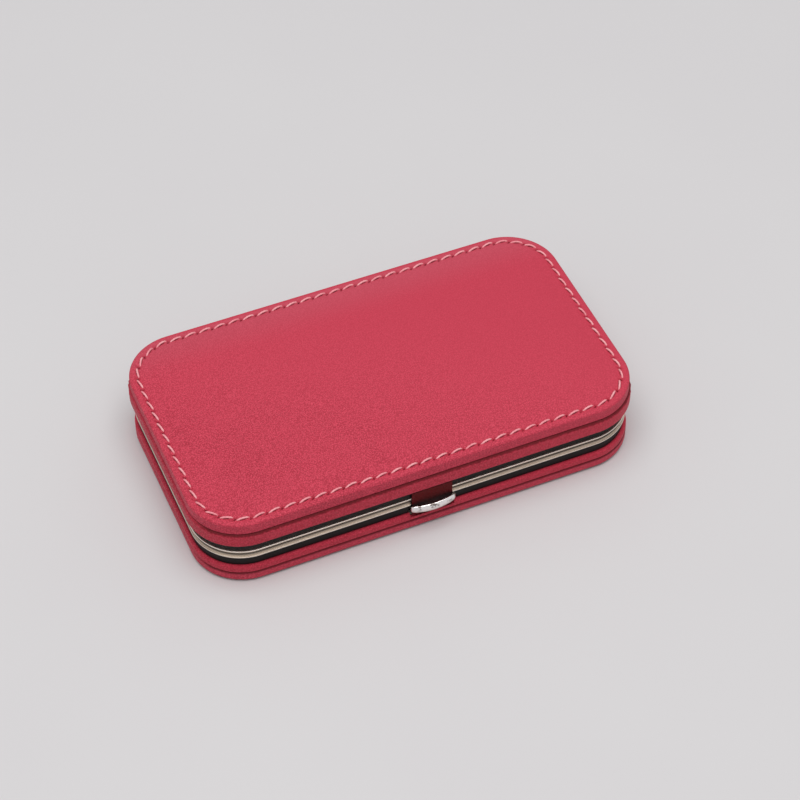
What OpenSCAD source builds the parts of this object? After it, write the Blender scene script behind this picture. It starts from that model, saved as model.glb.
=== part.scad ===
// Hard manicure case: two leather-covered halves on thin metal frames, hinged along
// the back and held shut by a small thumb catch at the front. The inside is lined
// and has elastic loops for the tools. Origin: middle of the bottom face. The front
// looks towards -Y, the hinge is at +Y and +Z is up. All sizes are in millimetres.

/* [Panels] */
// Length of the two cover panels, from left to right
panel_w = 110; // [90:1:160]
// Depth of the two cover panels, from front to back
panel_d = 63.5; // [52:0.5:100]
// Radius of the panels' corners, seen from above
panel_r = 12.9; // [11.5:0.1:20]
// Thickness of the covering leather
skin_t = 0.8; // [0.6:0.05:0.9]
// Thickness of the leather where it is thinned to be turned in
turn_t = 0.5; // [0.3:0.05:0.6]
// Width of the leather turned in behind a panel
turn_w = 6; // [4:0.5:9]
// Thickness of the stiff board inside each panel
board_t = 1.4; // [1:0.1:3]
// Thickness of the foam between board and leather, at the panel's edge
pad_t = 0.4; // [0.2:0.1:2]
// Rise of the padded middle of the top panel over its edge
crown_h = 0.5; // [0:0.05:1.2]
// Width of the slope between the stitched channel and the padded middle
crown_w = 8; // [4:0.5:8.5]
// Rounding of a panel's outer edge
rim_r = 0.6; // [0.4:0.1:1.2]
// Distance from the panel's edge to the line of stitches
stitch_inset = 2.05; // [1.9:0.05:3]
// Width of the channel that the stitches pull into the leather
channel_w = 0.9; // [0.5:0.1:1]
// Depth of the channel that the stitches pull into the leather
channel_d = 0.2; // [0.05:0.05:0.3]

/* [Side walls] */
// Height of the leather wall of the upper half
upper_wall_h = 4.3; // [3.5:0.1:12]
// Height of the leather wall of the lower half
lower_wall_h = 1.9; // [1.8:0.1:12]
// How far the upper wall swells out past the panel's edge
wall_bulge = 0.5; // [0.2:0.1:0.6]
// How far the low wall of the lower half lies in from the panel's edge
lower_wall_in = 0.2; // [0:0.05:0.3]
// Depth of the groove where a wall meets its panel
seam_depth = 0.6; // [0.4:0.1:0.8]
// Height of the rounding at the panel side of the upper wall
seam_round = 0.9; // [0.5:0.1:1.1]
// Height of the rounding at the frame side of the upper wall
edge_round = 1.0; // [0.6:0.1:1.2]
// Height of the roundings of the lower wall
lower_round = 0.6; // [0.4:0.1:0.8]
// Thickness of the stiff stem that carries the frame
stem_t = 0.65; // [0.5:0.05:1]

/* [Binding and frames] */
// Visible height of the black binding of the upper half
upper_band_h = 2.35; // [1.9:0.05:5]
// Visible height of the black binding of the lower half
lower_band_h = 2.7; // [2.6:0.05:5]
// Height of the upper metal frame
upper_frame_h = 1.1; // [0.9:0.05:3]
// Height of the lower metal frame
lower_frame_h = 0.95; // [0.9:0.05:1.2]
// Gap between the two closed frames
frame_gap = 0.25; // [0.1:0.05:0.3]
// Thickness of the frame's sheet metal
sheet_t = 0.4; // [0.3:0.05:0.4]
// How far the frame's face lies in from the panel's edge
frame_in = 0.8; // [0.75:0.05:1.1]
// How far the edge of the frame's flange lies in from the panel's edge
flange_in = 0.43; // [0.35:0.01:0.5]
// Height of the flange's edge
flange_h = 0.35; // [0.25:0.05:0.4]
// How far the face of the binding lies in from that of the frame
band_step = 0.15; // [0.1:0.05:0.2]
// Thickness of the binding where it shows
band_t = 0.7; // [0.6:0.05:1]
// Height of the frame's inner leg
inner_leg_h = 1.2; // [0.8:0.1:1.4]
// Radius of the bends of the frame
bend_r = 0.3; // [0.1:0.05:0.4]

/* [Linings] */
// Thickness of the lining boards
lining_t = 0.6; // [0.4:0.1:1]
// Radius of the cove between the lining's floor and walls
cove_r = 1.2; // [0.6:0.1:2]

/* [Tool straps] */
// Thickness of the elastic strap
strap_t = 0.6; // [0.4:0.1:0.7]
// Width of the elastic strap
strap_w = 9; // [6:0.5:14]
// Clear height inside a loop
loop_h = 4.3; // [4.1:0.1:4.4]
// Radius of the loops' shoulders
loop_r = 1.6; // [1.2:0.1:2]
// Width of the flat stretch between two loops
strap_flat = 4; // [3:0.5:6]
// Clear widths of the loops in the lower half
lower_loops = [8, 11, 16, 11, 8];
// Clear widths of the loops in the upper half
upper_loops = [12, 18, 12];
// Distance of the lower strap behind the middle of the case
lower_strap_y = 4; // [-8:0.5:8]
// Distance of the upper strap behind the middle of the case
upper_strap_y = -6; // [-8:0.5:8]

/* [Hinge] */
// Length of the hinge
hinge_len = 56; // [35:1:64]
// Number of knuckles, an odd number
knuckles = 7; // [5:2:9]
// Outer radius of the knuckles
knuckle_r = 0.85; // [0.8:0.05:1]
// Radius of the hinge pin
pin_r = 0.5; // [0.4:0.05:0.55]
// Radial clearance between the pin and the knuckles
pin_play = 0.03; // [0.02:0.01:0.06]
// Gap between neighbouring knuckles
knuckle_gap = 0.15; // [0.1:0.05:0.3]
// Thickness of the hinge leaves
leaf_t = 0.4; // [0.3:0.05:0.5]
// How far a leaf reaches up or down from the hinge axis
leaf_h = 3.0; // [2.9:0.05:3.05]
// Number of rivets in a leaf
leaf_rivets = 4; // [2:1:8]

/* [Thumb catch] */
// Width of the leather tab
tab_w = 10.2; // [8:0.1:14]
// Thickness of the tab's leather
tab_skin_t = 0.3; // [0.2:0.05:0.4]
// Thickness of the steel tongue inside the tab
tongue_t = 0.4; // [0.3:0.05:0.4]
// Gap between the tab and the cheeks of the catch
cheek_gap = 0.1; // [0.1:0.05:0.4]
// Thickness of the cheeks of the catch
cheek_t = 0.4; // [0.3:0.05:0.6]
// How far the middle of the lip stands out past the panel's edge
lip_out = 1.95; // [1.8:0.05:4]
// How far the ends of the lip stand out past the panel's edge
lip_end_out = 0.9; // [0.8:0.05:1.2]
// Thickness of the lip
lip_t = 0.85; // [0.6:0.05:0.85]
// Height of the lip
lip_h = 2.2; // [1.8:0.1:2.4]
// Radius of the pin that carries the catch
catch_pin_r = 0.4; // [0.3:0.05:0.45]
// Radius of the barrel round that pin
barrel_r = 0.7; // [0.65:0.05:0.75]
// Half width of the nose that holds the tongue
nose_half = 2.2; // [1.5:0.1:3]
// Thickness of the catch's bracket
bracket_t = 0.4; // [0.3:0.05:0.5]
// Thickness of the leaf spring behind the catch
spring_t = 0.2; // [0.15:0.05:0.25]
// Width of the leaf spring
spring_w = 3; // [2:0.5:5]

/* [Rivets] */
// Radius of the rivet shanks
rivet_r = 0.45; // [0.3:0.05:0.5]
// Radius of the rivet heads
rivet_head_r = 0.7; // [0.6:0.05:0.75]
// Height of the rivet heads
rivet_head_h = 0.35; // [0.2:0.05:0.4]

/* [Colours] */
// Leather of the panels
leather_col = [0.78, 0.28, 0.35];
// Leather of the side walls
wall_col = [0.66, 0.20, 0.26];
// Leather of the tab
tab_col = [0.45, 0.10, 0.12];
// Binding and linings
black_col = [0.11, 0.10, 0.10];
// Metal of the frames and hinge
metal_col = [0.74, 0.70, 0.66];
// Chrome of the catch
chrome_col = [0.88, 0.89, 0.90];
// Boards and stiffeners
board_col = [0.62, 0.58, 0.50];
// Foam
foam_col = [0.92, 0.90, 0.82];

/* [Hidden] */

$fn = 48;
eps = 0.01;
far = 400;
// How far a cutting body reaches past what it cuts
cut = 1;

// Heights of the stack, from the table up
panel_t = turn_t + board_t + pad_t + skin_t;
low_wall_z = panel_t;
low_band_z = low_wall_z + lower_wall_h;
low_frame_z = low_band_z + lower_band_h;
mouth_low_z = low_frame_z + lower_frame_h;
mouth_up_z = mouth_low_z + frame_gap;
up_band_z = mouth_up_z + upper_frame_h;
up_wall_z = up_band_z + upper_band_h;
up_panel_z = up_wall_z + upper_wall_h;
top_z = up_panel_z + panel_t;

// Insets of the layers from the panel's edge, towards the middle
band_in = frame_in + band_step;
leg_in = frame_in + sheet_t;
stem_in = band_in + band_t;
lining_in = stem_in + stem_t;
cavity_in = lining_in + lining_t;
// Inset at which the rounding of a wall ends, at its frame side
edge_step = 0.15;
edge_in = frame_in - edge_step;

// Length of the part of a half, from its panel to its mouth
low_half_h = mouth_low_z - low_wall_z;
up_half_h = up_panel_z - mouth_up_z;

// Rivets: play in their holes, and sheet left beyond their heads
rivet_play = 0.03;
rivet_edge = 0.1;
head_taper = 0.7;
rivet_hole_r = rivet_r + rivet_play;

// Hinge axis, with the room between the knuckles and the frame's face
axis_clear = 0.05;
axis_y = panel_d / 2 - frame_in + knuckle_r + axis_clear;
axis_z = (mouth_low_z + mouth_up_z) / 2;
knuckle_pitch = hinge_len / knuckles;
leaf_rivet_h = leaf_h - rivet_head_r - rivet_edge;

// Thumb catch, seen in a section across the front wall
front_y = -panel_d / 2;
catch_axis_back = 1.3;
barrel_below = 0.2;
catch_axis_in = frame_in + catch_axis_back;
catch_axis_z = mouth_low_z - sheet_t - barrel_below - barrel_r;
catch_axis_y = front_y + catch_axis_in;
catch_half = tab_w / 2 + cheek_gap + cheek_t;
ear_gap = 0.2;
ear_wall = 0.25;
ear_r = catch_pin_r + ear_wall;
notch_gap = 0.25;
ear_half = catch_half + ear_gap;
notch_half = ear_half + bracket_t + notch_gap;
slot_half = catch_half + ear_gap / 2;
tab_over_wall = 0.7;
tab_gap = 0.25;
tab_side_gap = 0.4;
flange_side_gap = 0.1;
tab_bottom_z = low_band_z - tab_over_wall;
notch_z = tab_bottom_z - tab_gap;

// Window of the tongue, and the nose that holds it, with its sloping underside
window_edge = 0.8;
window_gap = 0.15;
window_side_gap = 0.4;
window_low_z = tab_bottom_z + window_edge;
window_half = nose_half + window_side_gap;
nose_root_drop = 0.05;
nose_z = window_low_z - nose_root_drop;
nose_rise = 0.4;
nose_h = 1.25;
nose_tip_h = 0.25;
nose_back = 0.1;
nose_tip_in = frame_in - tongue_t + nose_back;
web_t = 0.5;
web_ahead = 0.55;
web_in = catch_axis_in - web_ahead;

// Upper end of the tab, its rivets, and the lip below the catch's axis
tab_top_gap = 0.2;
tab_rivet_up = 0.9;
tab_rivet_side = 1.7;
tongue_top_z = up_wall_z - tab_top_gap;
tab_rivet_z = up_band_z + tab_rivet_up;
tab_rivet_x = tab_w / 2 - tab_rivet_side;
lip_rise = 0.1;
lip_z = catch_axis_z + lip_rise;

// Bracket of the catch, which reaches past the notch on both sides
bracket_edge = 0.3;
bracket_rivet_up = 0.9;
bracket_half = notch_half + 2 * rivet_head_r + bracket_edge;
bracket_rivet_x = (notch_half + bracket_half) / 2;
bracket_rivet_z = low_band_z + bracket_rivet_up;

// Inset at which the slope of the padding starts, and where it ends
slope_in = stitch_inset + channel_w / 2;
crown_in = slope_in + crown_w;
slope_steps = 7;

// Radius of the lip's outer curve, seen from above
lip_sag = lip_out - lip_end_out;
lip_r = (catch_half * catch_half + lip_sag * lip_sag) / (2 * lip_sag);

// Points of an arc about c, from angle a to angle b, with semi-axes ru and rz
function arc(c, ru, rz, a, b, n = 6) =
    [for (i = [0:n]) let (t = a + (b - a) * i / n) [c[0] + ru * cos(t), c[1] + rz * sin(t)]];

// Points of a profile turned upside down, with its height counted down from z
function flipped(p, z) = [for (q = p) [q[0], z - q[1]]];

// Points of a profile raised by z
function raised(p, z) = [for (q = p) [q[0], z + q[1]]];

// Rounded plan of the case, drawn in by an inset
module plan(inset) {
    r = panel_r - inset;
    w = panel_w - 2 * inset;
    d = panel_d - 2 * inset;
    square([w, d - 2 * r], center = true);
    square([w - 2 * r, d], center = true);
    for (sx = [-1, 1], sy = [-1, 1])
        translate([sx * (w / 2 - r), sy * (d / 2 - r)])
            circle(r);
}

// Plate of the plan, drawn in by an inset, between two heights
module plate(inset, z0, z1) {
    translate([0, 0, z0])
        linear_extrude(z1 - z0)
            plan(inset);
}

// Upright hoop between two insets and two heights
module hoop(outer, inner, z0, z1) {
    translate([0, 0, z0])
        linear_extrude(z1 - z0)
            difference() {
                plan(outer);
                plan(inner);
            }
}

// One straight side of a profile swept round the plan, on the side towards +Y
module sweep_side(p, half_d, length) {
    translate([-length / 2, 0, 0])
        rotate([90, 0, 90])
            linear_extrude(length)
                polygon([for (q = p) [half_d - q[0], q[1]]]);
}

// Profile swept round the plan. Its points are [inset, height]
module sweep(p) {
    for (s = [0, 180])
        rotate([0, 0, s]) {
            sweep_side(p, panel_d / 2, panel_w - 2 * panel_r);
            rotate([0, 0, 90])
                sweep_side(p, panel_w / 2, panel_d - 2 * panel_r);
            translate([panel_w / 2 - panel_r, panel_d / 2 - panel_r, 0])
                rotate_extrude(angle = 90)
                    polygon([for (q = p) [panel_r - q[0], q[1]]]);
            translate([panel_r - panel_w / 2, panel_d / 2 - panel_r, 0])
                rotate([0, 0, 90])
                    rotate_extrude(angle = 90)
                        polygon([for (q = p) [panel_r - q[0], q[1]]]);
        }
}

// Panels. Height 0 is the side towards the inside of the case

// Slope of the padding, from the crown down to the stitched channel, lowered by drop
function slope(crown, drop) =
    [for (i = [0:slope_steps])
        let (t = i / slope_steps) [crown_in - crown_w * t, panel_t + crown * cos(90 * t) - drop]];

// Leather of a panel, turned in below
module panel_cover(crown) {
    sweep(concat(
        slope(crown, 0),
        [[stitch_inset, panel_t - channel_d], [stitch_inset - channel_w / 2, panel_t]],
        arc([rim_r, panel_t - rim_r], rim_r, rim_r, 90, 180),
        arc([rim_r, rim_r], rim_r, rim_r, 180, 270),
        [[turn_w, 0], [turn_w, turn_t], [skin_t, turn_t], [skin_t, panel_t - skin_t]],
        [for (i = [slope_steps:-1:0]) slope(crown, skin_t)[i]]
    ));
    plate(crown_in, panel_t + crown - skin_t, panel_t + crown);
}

module panel_padding(crown) {
    base = turn_t + board_t;
    sweep(concat(
        slope(crown, skin_t),
        [[skin_t, panel_t - skin_t], [skin_t, base], [crown_in, base]]
    ));
    plate(crown_in, base, panel_t + crown - skin_t);
}

module panel_board() {
    plate(skin_t, turn_t, turn_t + board_t);
}

// Side walls. Height 0 is the seam with the panel, the mouth is above

// Leather of a wall, turned in at both edges. Its outer face lies at an inset, which
// is below 0 where it swells out, and is rounded over a height at each edge
function wall_profile(h, face_in, round_low, round_high) = concat(
    arc([seam_depth, round_low], seam_depth - face_in, round_low, 270, 180),
    arc([edge_in, h - round_high], edge_in - face_in, round_high, 180, 90),
    [[band_in, h], [band_in, h - turn_t], [face_in + skin_t, h - turn_t],
     [face_in + skin_t, turn_t], [lining_in, turn_t], [lining_in, 0]]
);

// Stiff hoop of a wall, with the stem that carries the frame
module wall_core(h, face_in, half_h) {
    hoop(face_in + skin_t, lining_in, turn_t, h - turn_t);
    hoop(stem_in, lining_in, h - turn_t - eps, half_h - sheet_t);
}

// Binding strip, from the wall into the channel of the frame
module binding(h, band_h, half_h) {
    hoop(band_in, stem_in, h - turn_t, h + band_h);
    hoop(leg_in, stem_in, h + band_h - eps, half_h - sheet_t);
}

// Section of a frame: channel with a flange at the edge of its outer leg
function frame_profile(frame_h, half_h) = concat(
    [[flange_in, half_h - frame_h], [flange_in, half_h - frame_h + flange_h],
     [frame_in, half_h - frame_h + flange_h]],
    arc([frame_in + bend_r, half_h - bend_r], bend_r, bend_r, 180, 90, 3),
    arc([lining_in + sheet_t - bend_r, half_h - bend_r], bend_r, bend_r, 90, 0, 3),
    [[lining_in + sheet_t, half_h - inner_leg_h], [lining_in, half_h - inner_leg_h],
     [lining_in, half_h - sheet_t], [leg_in, half_h - sheet_t], [leg_in, half_h - frame_h]]
);

// Lining board: floor and walls with a cove between them
module lining(half_h) {
    top = half_h - inner_leg_h;
    plate(cavity_in + cove_r, 0, lining_t);
    sweep(concat(
        [[lining_in, 0], [lining_in, top], [cavity_in, top]],
        arc([cavity_in + cove_r, lining_t + cove_r], cove_r, cove_r, 180, 270, 4),
        [[cavity_in + cove_r, 0]]
    ));
}

// Elastic strap, standing on height 0 and running along X

// Distance from the start of the strap to the start of loop i
function loop_start(widths, i) =
    strap_flat + (i == 0 ? 0 : loop_start(widths, i - 1) + widths[i - 1] + 2 * strap_t);

// Whole length of the strap
function strap_len(widths) =
    loop_start(widths, len(widths) - 1) + widths[len(widths) - 1] + 2 * strap_t + strap_flat;

// Section of a loop, of a width and height, with round shoulders
module loop_shape(w, h, r) {
    square([w, h - r]);
    translate([r, 0])
        square([w - 2 * r, h]);
    for (x = [r, w - r])
        translate([x, h - r])
            circle(r);
}

module tool_strap(widths) {
    length = strap_len(widths);
    translate([-length / 2, strap_w / 2, 0])
        rotate([90, 0, 0])
            linear_extrude(strap_w)
                difference() {
                    union() {
                        square([length, strap_t]);
                        for (i = [0:len(widths) - 1])
                            translate([loop_start(widths, i), 0])
                                loop_shape(widths[i] + 2 * strap_t, loop_h + strap_t, loop_r);
                    }
                    for (i = [0:len(widths) - 1])
                        translate([loop_start(widths, i) + strap_t, -eps])
                            loop_shape(widths[i], loop_h + eps, loop_r - strap_t);
                }
}

// Rivet along +Y: shank of a length behind the head's seat at y = 0, head towards -Y
module rivet(length) {
    rotate([-90, 0, 0]) {
        cylinder(r = rivet_r, h = length);
        translate([0, 0, -rivet_head_h])
            cylinder(r1 = rivet_head_r * head_taper, r2 = rivet_head_r, h = rivet_head_h);
    }
}

// Placement of the rivets of a hinge leaf, at a distance up or down from the axis
module leaf_rivet_places(side) {
    for (i = [0:leaf_rivets - 1])
        translate([hinge_len * ((i + 0.5) / leaf_rivets - 0.5), 0, axis_z + side * leaf_rivet_h])
            children();
}

// Holes for the rivets of a hinge leaf
module leaf_rivet_holes(side) {
    leaf_rivet_places(side)
        translate([0, panel_d / 2 - lining_in - cut, 0])
            rotate([-90, 0, 0])
                cylinder(r = rivet_hole_r, h = lining_in + 2 * cut);
}

// Placement of the two rivets of the tab
module tab_rivet_places() {
    for (sx = [-1, 1])
        translate([sx * tab_rivet_x, 0, tab_rivet_z])
            children();
}

module tab_rivet_holes() {
    tab_rivet_places()
        translate([0, front_y - cut, 0])
            rotate([-90, 0, 0])
                cylinder(r = rivet_hole_r, h = lining_in + 2 * cut);
}

// Placement of the two rivets of the catch's bracket
module bracket_rivet_places() {
    for (sx = [-1, 1])
        translate([sx * bracket_rivet_x, 0, bracket_rivet_z])
            children();
}

module bracket_rivet_holes() {
    bracket_rivet_places()
        translate([0, front_y + stem_in - cut, 0])
            rotate([-90, 0, 0])
                cylinder(r = rivet_hole_r, h = cavity_in - stem_in + bracket_t + 2 * cut);
}

// Room for the catch in the front of the lower half, above a height
module catch_notch(half, z) {
    translate([-half, front_y - cut, z])
        cube([2 * half, cavity_in + cut + eps, far]);
}

// Room for the catch inside the channel of the lower frame, below its web
module frame_notch() {
    translate([-notch_half, front_y + leg_in, low_band_z])
        cube([2 * notch_half, cavity_in - leg_in, mouth_low_z - sheet_t - low_band_z]);
}

// Room for the bracket's ears behind the binding of the lower half
module ear_pocket() {
    pocket_y = catch_axis_y - ear_r - ear_gap / 2;
    translate([-notch_half, pocket_y, low_band_z])
        cube([2 * notch_half, front_y + cavity_in - pocket_y, far]);
}

// Room for the tab in the flanges at the front
module tab_relief(z0, z1) {
    half = tab_w / 2 + flange_side_gap;
    translate([-half, front_y - cut, z0])
        cube([2 * half, frame_in + cut, z1 - z0]);
}

// Room for the hinge leaves in the flanges at the back
module hinge_relief(z0, z1) {
    end_gap = 2 * knuckle_gap;
    translate([-hinge_len / 2 - end_gap, panel_d / 2 - frame_in, z0])
        cube([hinge_len + 2 * end_gap, frame_in + cut, z1 - z0]);
}

// Lower half

module bottom_cover() {
    color(leather_col)
        translate([0, 0, panel_t])
            mirror([0, 0, 1])
                panel_cover(0);
}

module bottom_padding() {
    color(foam_col)
        translate([0, 0, panel_t])
            mirror([0, 0, 1])
                panel_padding(0);
}

module bottom_board() {
    color(board_col)
        translate([0, 0, panel_t])
            mirror([0, 0, 1])
                panel_board();
}

module lower_wall() {
    color(wall_col)
        difference() {
            sweep(raised(
                wall_profile(lower_wall_h, lower_wall_in, lower_round, lower_round), low_wall_z
            ));
            catch_notch(tab_w / 2 + tab_side_gap, notch_z);
        }
}

module lower_core() {
    color(board_col)
        difference() {
            translate([0, 0, low_wall_z])
                wall_core(lower_wall_h, lower_wall_in, low_half_h);
            catch_notch(tab_w / 2 + tab_side_gap, notch_z);
            catch_notch(notch_half, low_band_z - turn_t);
            leaf_rivet_holes(-1);
            bracket_rivet_holes();
        }
}

module lower_binding() {
    color(black_col)
        difference() {
            translate([0, 0, low_wall_z])
                binding(lower_wall_h, lower_band_h, low_half_h);
            catch_notch(slot_half, low_band_z - turn_t - eps);
            ear_pocket();
            leaf_rivet_holes(-1);
        }
}

module lower_frame() {
    color(metal_col)
        difference() {
            sweep(raised(frame_profile(lower_frame_h, low_half_h), low_wall_z));
            frame_notch();
            tab_relief(low_frame_z - eps, low_frame_z + flange_h + eps);
            hinge_relief(low_frame_z - eps, low_frame_z + flange_h + eps);
        }
}

module lower_lining() {
    color(black_col)
        difference() {
            translate([0, 0, low_wall_z])
                lining(low_half_h);
            catch_notch(notch_half, low_wall_z + lining_t + cove_r);
            bracket_rivet_holes();
        }
}

module lower_tool_strap() {
    color(black_col)
        translate([0, lower_strap_y, low_wall_z + lining_t])
            tool_strap(lower_loops);
}

// Hinge

// Knuckles of one leaf: every second one from the first or the second on
module leaf_knuckles(first) {
    for (i = [first:2:knuckles - 1])
        translate([-hinge_len / 2 + i * knuckle_pitch + knuckle_gap / 2, 0, 0])
            children();
}

// Leaf of the hinge: side is -1 for the lower one and 1 for the upper one
module hinge_leaf(side, first) {
    run = knuckle_pitch - knuckle_gap;
    face_y = panel_d / 2 - frame_in;
    reach = knuckle_r + knuckle_gap;
    difference() {
        union() {
            translate([-hinge_len / 2, face_y, side > 0 ? axis_z + reach : axis_z - leaf_h])
                cube([hinge_len, leaf_t, leaf_h - reach]);
            leaf_knuckles(first) {
                translate([0, face_y, side > 0 ? axis_z : axis_z - reach - eps])
                    cube([run, leaf_t, reach + eps]);
                translate([0, axis_y, axis_z])
                    rotate([0, 90, 0])
                        cylinder(r = knuckle_r, h = run);
            }
        }
        leaf_knuckles(first)
            translate([-cut, axis_y, axis_z])
                rotate([0, 90, 0])
                    cylinder(r = pin_r + pin_play, h = run + 2 * cut);
        leaf_rivet_holes(side);
    }
}

module leaf_rivet_set(side) {
    leaf_rivet_places(side)
        translate([0, panel_d / 2 - frame_in + leaf_t, 0])
            mirror([0, 1, 0])
                rivet(lining_in - frame_in + leaf_t);
}

module lower_hinge_leaf() {
    color(metal_col)
        hinge_leaf(-1, 0);
}

module lower_hinge_rivets() {
    color(metal_col)
        leaf_rivet_set(-1);
}

module hinge_pin() {
    color(metal_col)
        translate([-hinge_len / 2, axis_y, axis_z])
            rotate([0, 90, 0])
                cylinder(r = pin_r, h = hinge_len);
}

// Thumb catch and its bracket

module catch_bracket() {
    plate_y = front_y + cavity_in;
    plate_z = low_wall_z + lining_t + cove_r;
    top_gap = 0.2;
    ear_z = catch_axis_z - ear_r;
    color(metal_col)
        difference() {
            union() {
                translate([-bracket_half, plate_y, plate_z])
                    cube([2 * bracket_half, bracket_t, mouth_low_z - top_gap - plate_z]);
                for (x = [-ear_half - bracket_t, ear_half])
                    translate([x, 0, 0]) {
                        translate([0, catch_axis_y, ear_z])
                            cube([bracket_t, plate_y - catch_axis_y + eps, 2 * ear_r]);
                        translate([0, catch_axis_y, catch_axis_z])
                            rotate([0, 90, 0])
                                cylinder(r = ear_r, h = bracket_t);
                    }
            }
            translate([-far / 2, catch_axis_y, catch_axis_z])
                rotate([0, 90, 0])
                    cylinder(r = catch_pin_r, h = far);
            bracket_rivet_holes();
        }
}

module catch_bracket_rivets() {
    color(metal_col)
        bracket_rivet_places()
            translate([0, front_y + cavity_in + bracket_t, 0])
                mirror([0, 1, 0])
                    rivet(cavity_in + bracket_t - stem_in);
}

module catch_pin() {
    proud = 0.1;
    length = 2 * (ear_half + bracket_t + proud);
    color(metal_col)
        translate([-length / 2, catch_axis_y, catch_axis_z])
            rotate([0, 90, 0])
                cylinder(r = catch_pin_r, h = length);
}

// Leaf spring: foot on the bracket's plate, free end against the web of the catch
module catch_spring() {
    foot_gap = 0.1;
    foot_h = 0.7;
    bend = 0.05;
    tip_gap = 0.06;
    tip_h = 0.3;
    tip_up = 1.1;
    foot_y = cavity_in;
    tip_y = web_in + web_t + tip_gap;
    z0 = low_wall_z + lining_t + cove_r + foot_gap;
    z1 = z0 + foot_h;
    z2 = nose_z + tip_up;
    color(metal_col)
        translate([-spring_w / 2, front_y, 0])
            rotate([90, 0, 90])
                linear_extrude(spring_w)
                    polygon([[foot_y - spring_t, z0], [foot_y, z0], [foot_y, z1],
                             [tip_y + spring_t, z2], [tip_y + 2 * spring_t, z2 + tip_h],
                             [tip_y + spring_t, z2 + tip_h], [tip_y, z2],
                             [foot_y - spring_t, z1 - bend]]);
}

// Half-round bar of the lip, swept along its curve
module lip_bar() {
    half_a = asin(catch_half / lip_r);
    edge = lip_t / 2;
    translate([0, front_y - lip_out + lip_r, lip_z])
        rotate([0, 0, 270 - half_a])
            rotate_extrude(angle = 2 * half_a, $fn = 2 * $fn)
                translate([lip_r - lip_t, 0]) {
                    translate([0, -lip_h / 2 + edge])
                        square([lip_t, lip_h - 2 * edge]);
                    for (s = [-1, 1])
                        translate([edge, s * (lip_h / 2 - edge)])
                            circle(edge);
                }
}

// Cheek plate from the lip's end back to the barrel, necked to pass below the frame
module catch_cheek() {
    overlap = 0.15;
    above = 0.2;
    below = 0.1;
    clear = 0.15;
    lip_y = front_y - lip_end_out + overlap;
    neck_z = low_frame_z - clear;
    rotate([90, 0, 90])
        linear_extrude(cheek_t) {
            polygon([[lip_y, lip_z - lip_h / 2 + above], [lip_y, lip_z + lip_h / 2 - below],
                     [front_y + flange_in - clear, neck_z], [front_y + leg_in + clear, neck_z],
                     [catch_axis_y, catch_axis_z + barrel_r],
                     [catch_axis_y, catch_axis_z - barrel_r]]);
            translate([catch_axis_y, catch_axis_z])
                circle(barrel_r);
        }
}

module thumb_catch() {
    nose_y = front_y + nose_tip_in;
    web_y = front_y + web_in;
    color(chrome_col)
        difference() {
            union() {
                lip_bar();
                for (x = [-catch_half, catch_half - cheek_t])
                    translate([x, 0, 0])
                        catch_cheek();
                translate([-catch_half + eps, catch_axis_y, catch_axis_z])
                    rotate([0, 90, 0])
                        cylinder(r = barrel_r, h = 2 * catch_half - 2 * eps);
                translate([-nose_half, 0, 0])
                    rotate([90, 0, 90])
                        linear_extrude(2 * nose_half)
                            polygon([[web_y + web_t, catch_axis_z], [web_y, catch_axis_z],
                                     [web_y, nose_z + nose_h],
                                     [nose_y, nose_z + nose_rise + nose_tip_h],
                                     [nose_y, nose_z + nose_rise], [web_y, nose_z],
                                     [web_y + web_t, nose_z]]);
            }
            translate([-far / 2, catch_axis_y, catch_axis_z])
                rotate([0, 90, 0])
                    cylinder(r = catch_pin_r + pin_play, h = far);
        }
}

// Upper half

module top_cover() {
    color(leather_col)
        translate([0, 0, up_panel_z])
            panel_cover(crown_h);
}

module top_padding() {
    color(foam_col)
        translate([0, 0, up_panel_z])
            panel_padding(crown_h);
}

module top_board() {
    color(board_col)
        translate([0, 0, up_panel_z])
            panel_board();
}

module upper_wall() {
    color(wall_col)
        sweep(flipped(
            wall_profile(upper_wall_h, -wall_bulge, seam_round, edge_round), up_panel_z
        ));
}

module upper_core() {
    color(board_col)
        difference() {
            translate([0, 0, up_panel_z])
                mirror([0, 0, 1])
                    wall_core(upper_wall_h, -wall_bulge, up_half_h);
            leaf_rivet_holes(1);
            tab_rivet_holes();
        }
}

module upper_binding() {
    color(black_col)
        difference() {
            translate([0, 0, up_panel_z])
                mirror([0, 0, 1])
                    binding(upper_wall_h, upper_band_h, up_half_h);
            leaf_rivet_holes(1);
            tab_rivet_holes();
        }
}

module upper_frame() {
    color(metal_col)
        difference() {
            sweep(flipped(frame_profile(upper_frame_h, up_half_h), up_panel_z));
            hinge_relief(up_band_z - flange_h - eps, up_band_z + eps);
            tab_relief(up_band_z - flange_h - eps, up_band_z + eps);
        }
}

module upper_lining() {
    color(black_col)
        translate([0, 0, up_panel_z])
            mirror([0, 0, 1])
                lining(up_half_h);
}

module upper_tool_strap() {
    color(black_col)
        translate([0, upper_strap_y, up_panel_z - lining_t])
            mirror([0, 0, 1])
                tool_strap(upper_loops);
}

module upper_hinge_leaf() {
    color(metal_col)
        hinge_leaf(1, 1);
}

module upper_hinge_rivets() {
    color(metal_col)
        leaf_rivet_set(1);
}

// Outline of the tab seen from the front, with a narrower rounded end
module tab_outline(half, r) {
    translate([-half, tab_bottom_z + r])
        square([2 * half, tongue_top_z - tab_bottom_z - r]);
    translate([-half + r, tab_bottom_z])
        square([2 * half - 2 * r, 2 * r]);
    for (s = [-1, 1])
        translate([s * (half - r), tab_bottom_z + r])
            circle(r);
}

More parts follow.
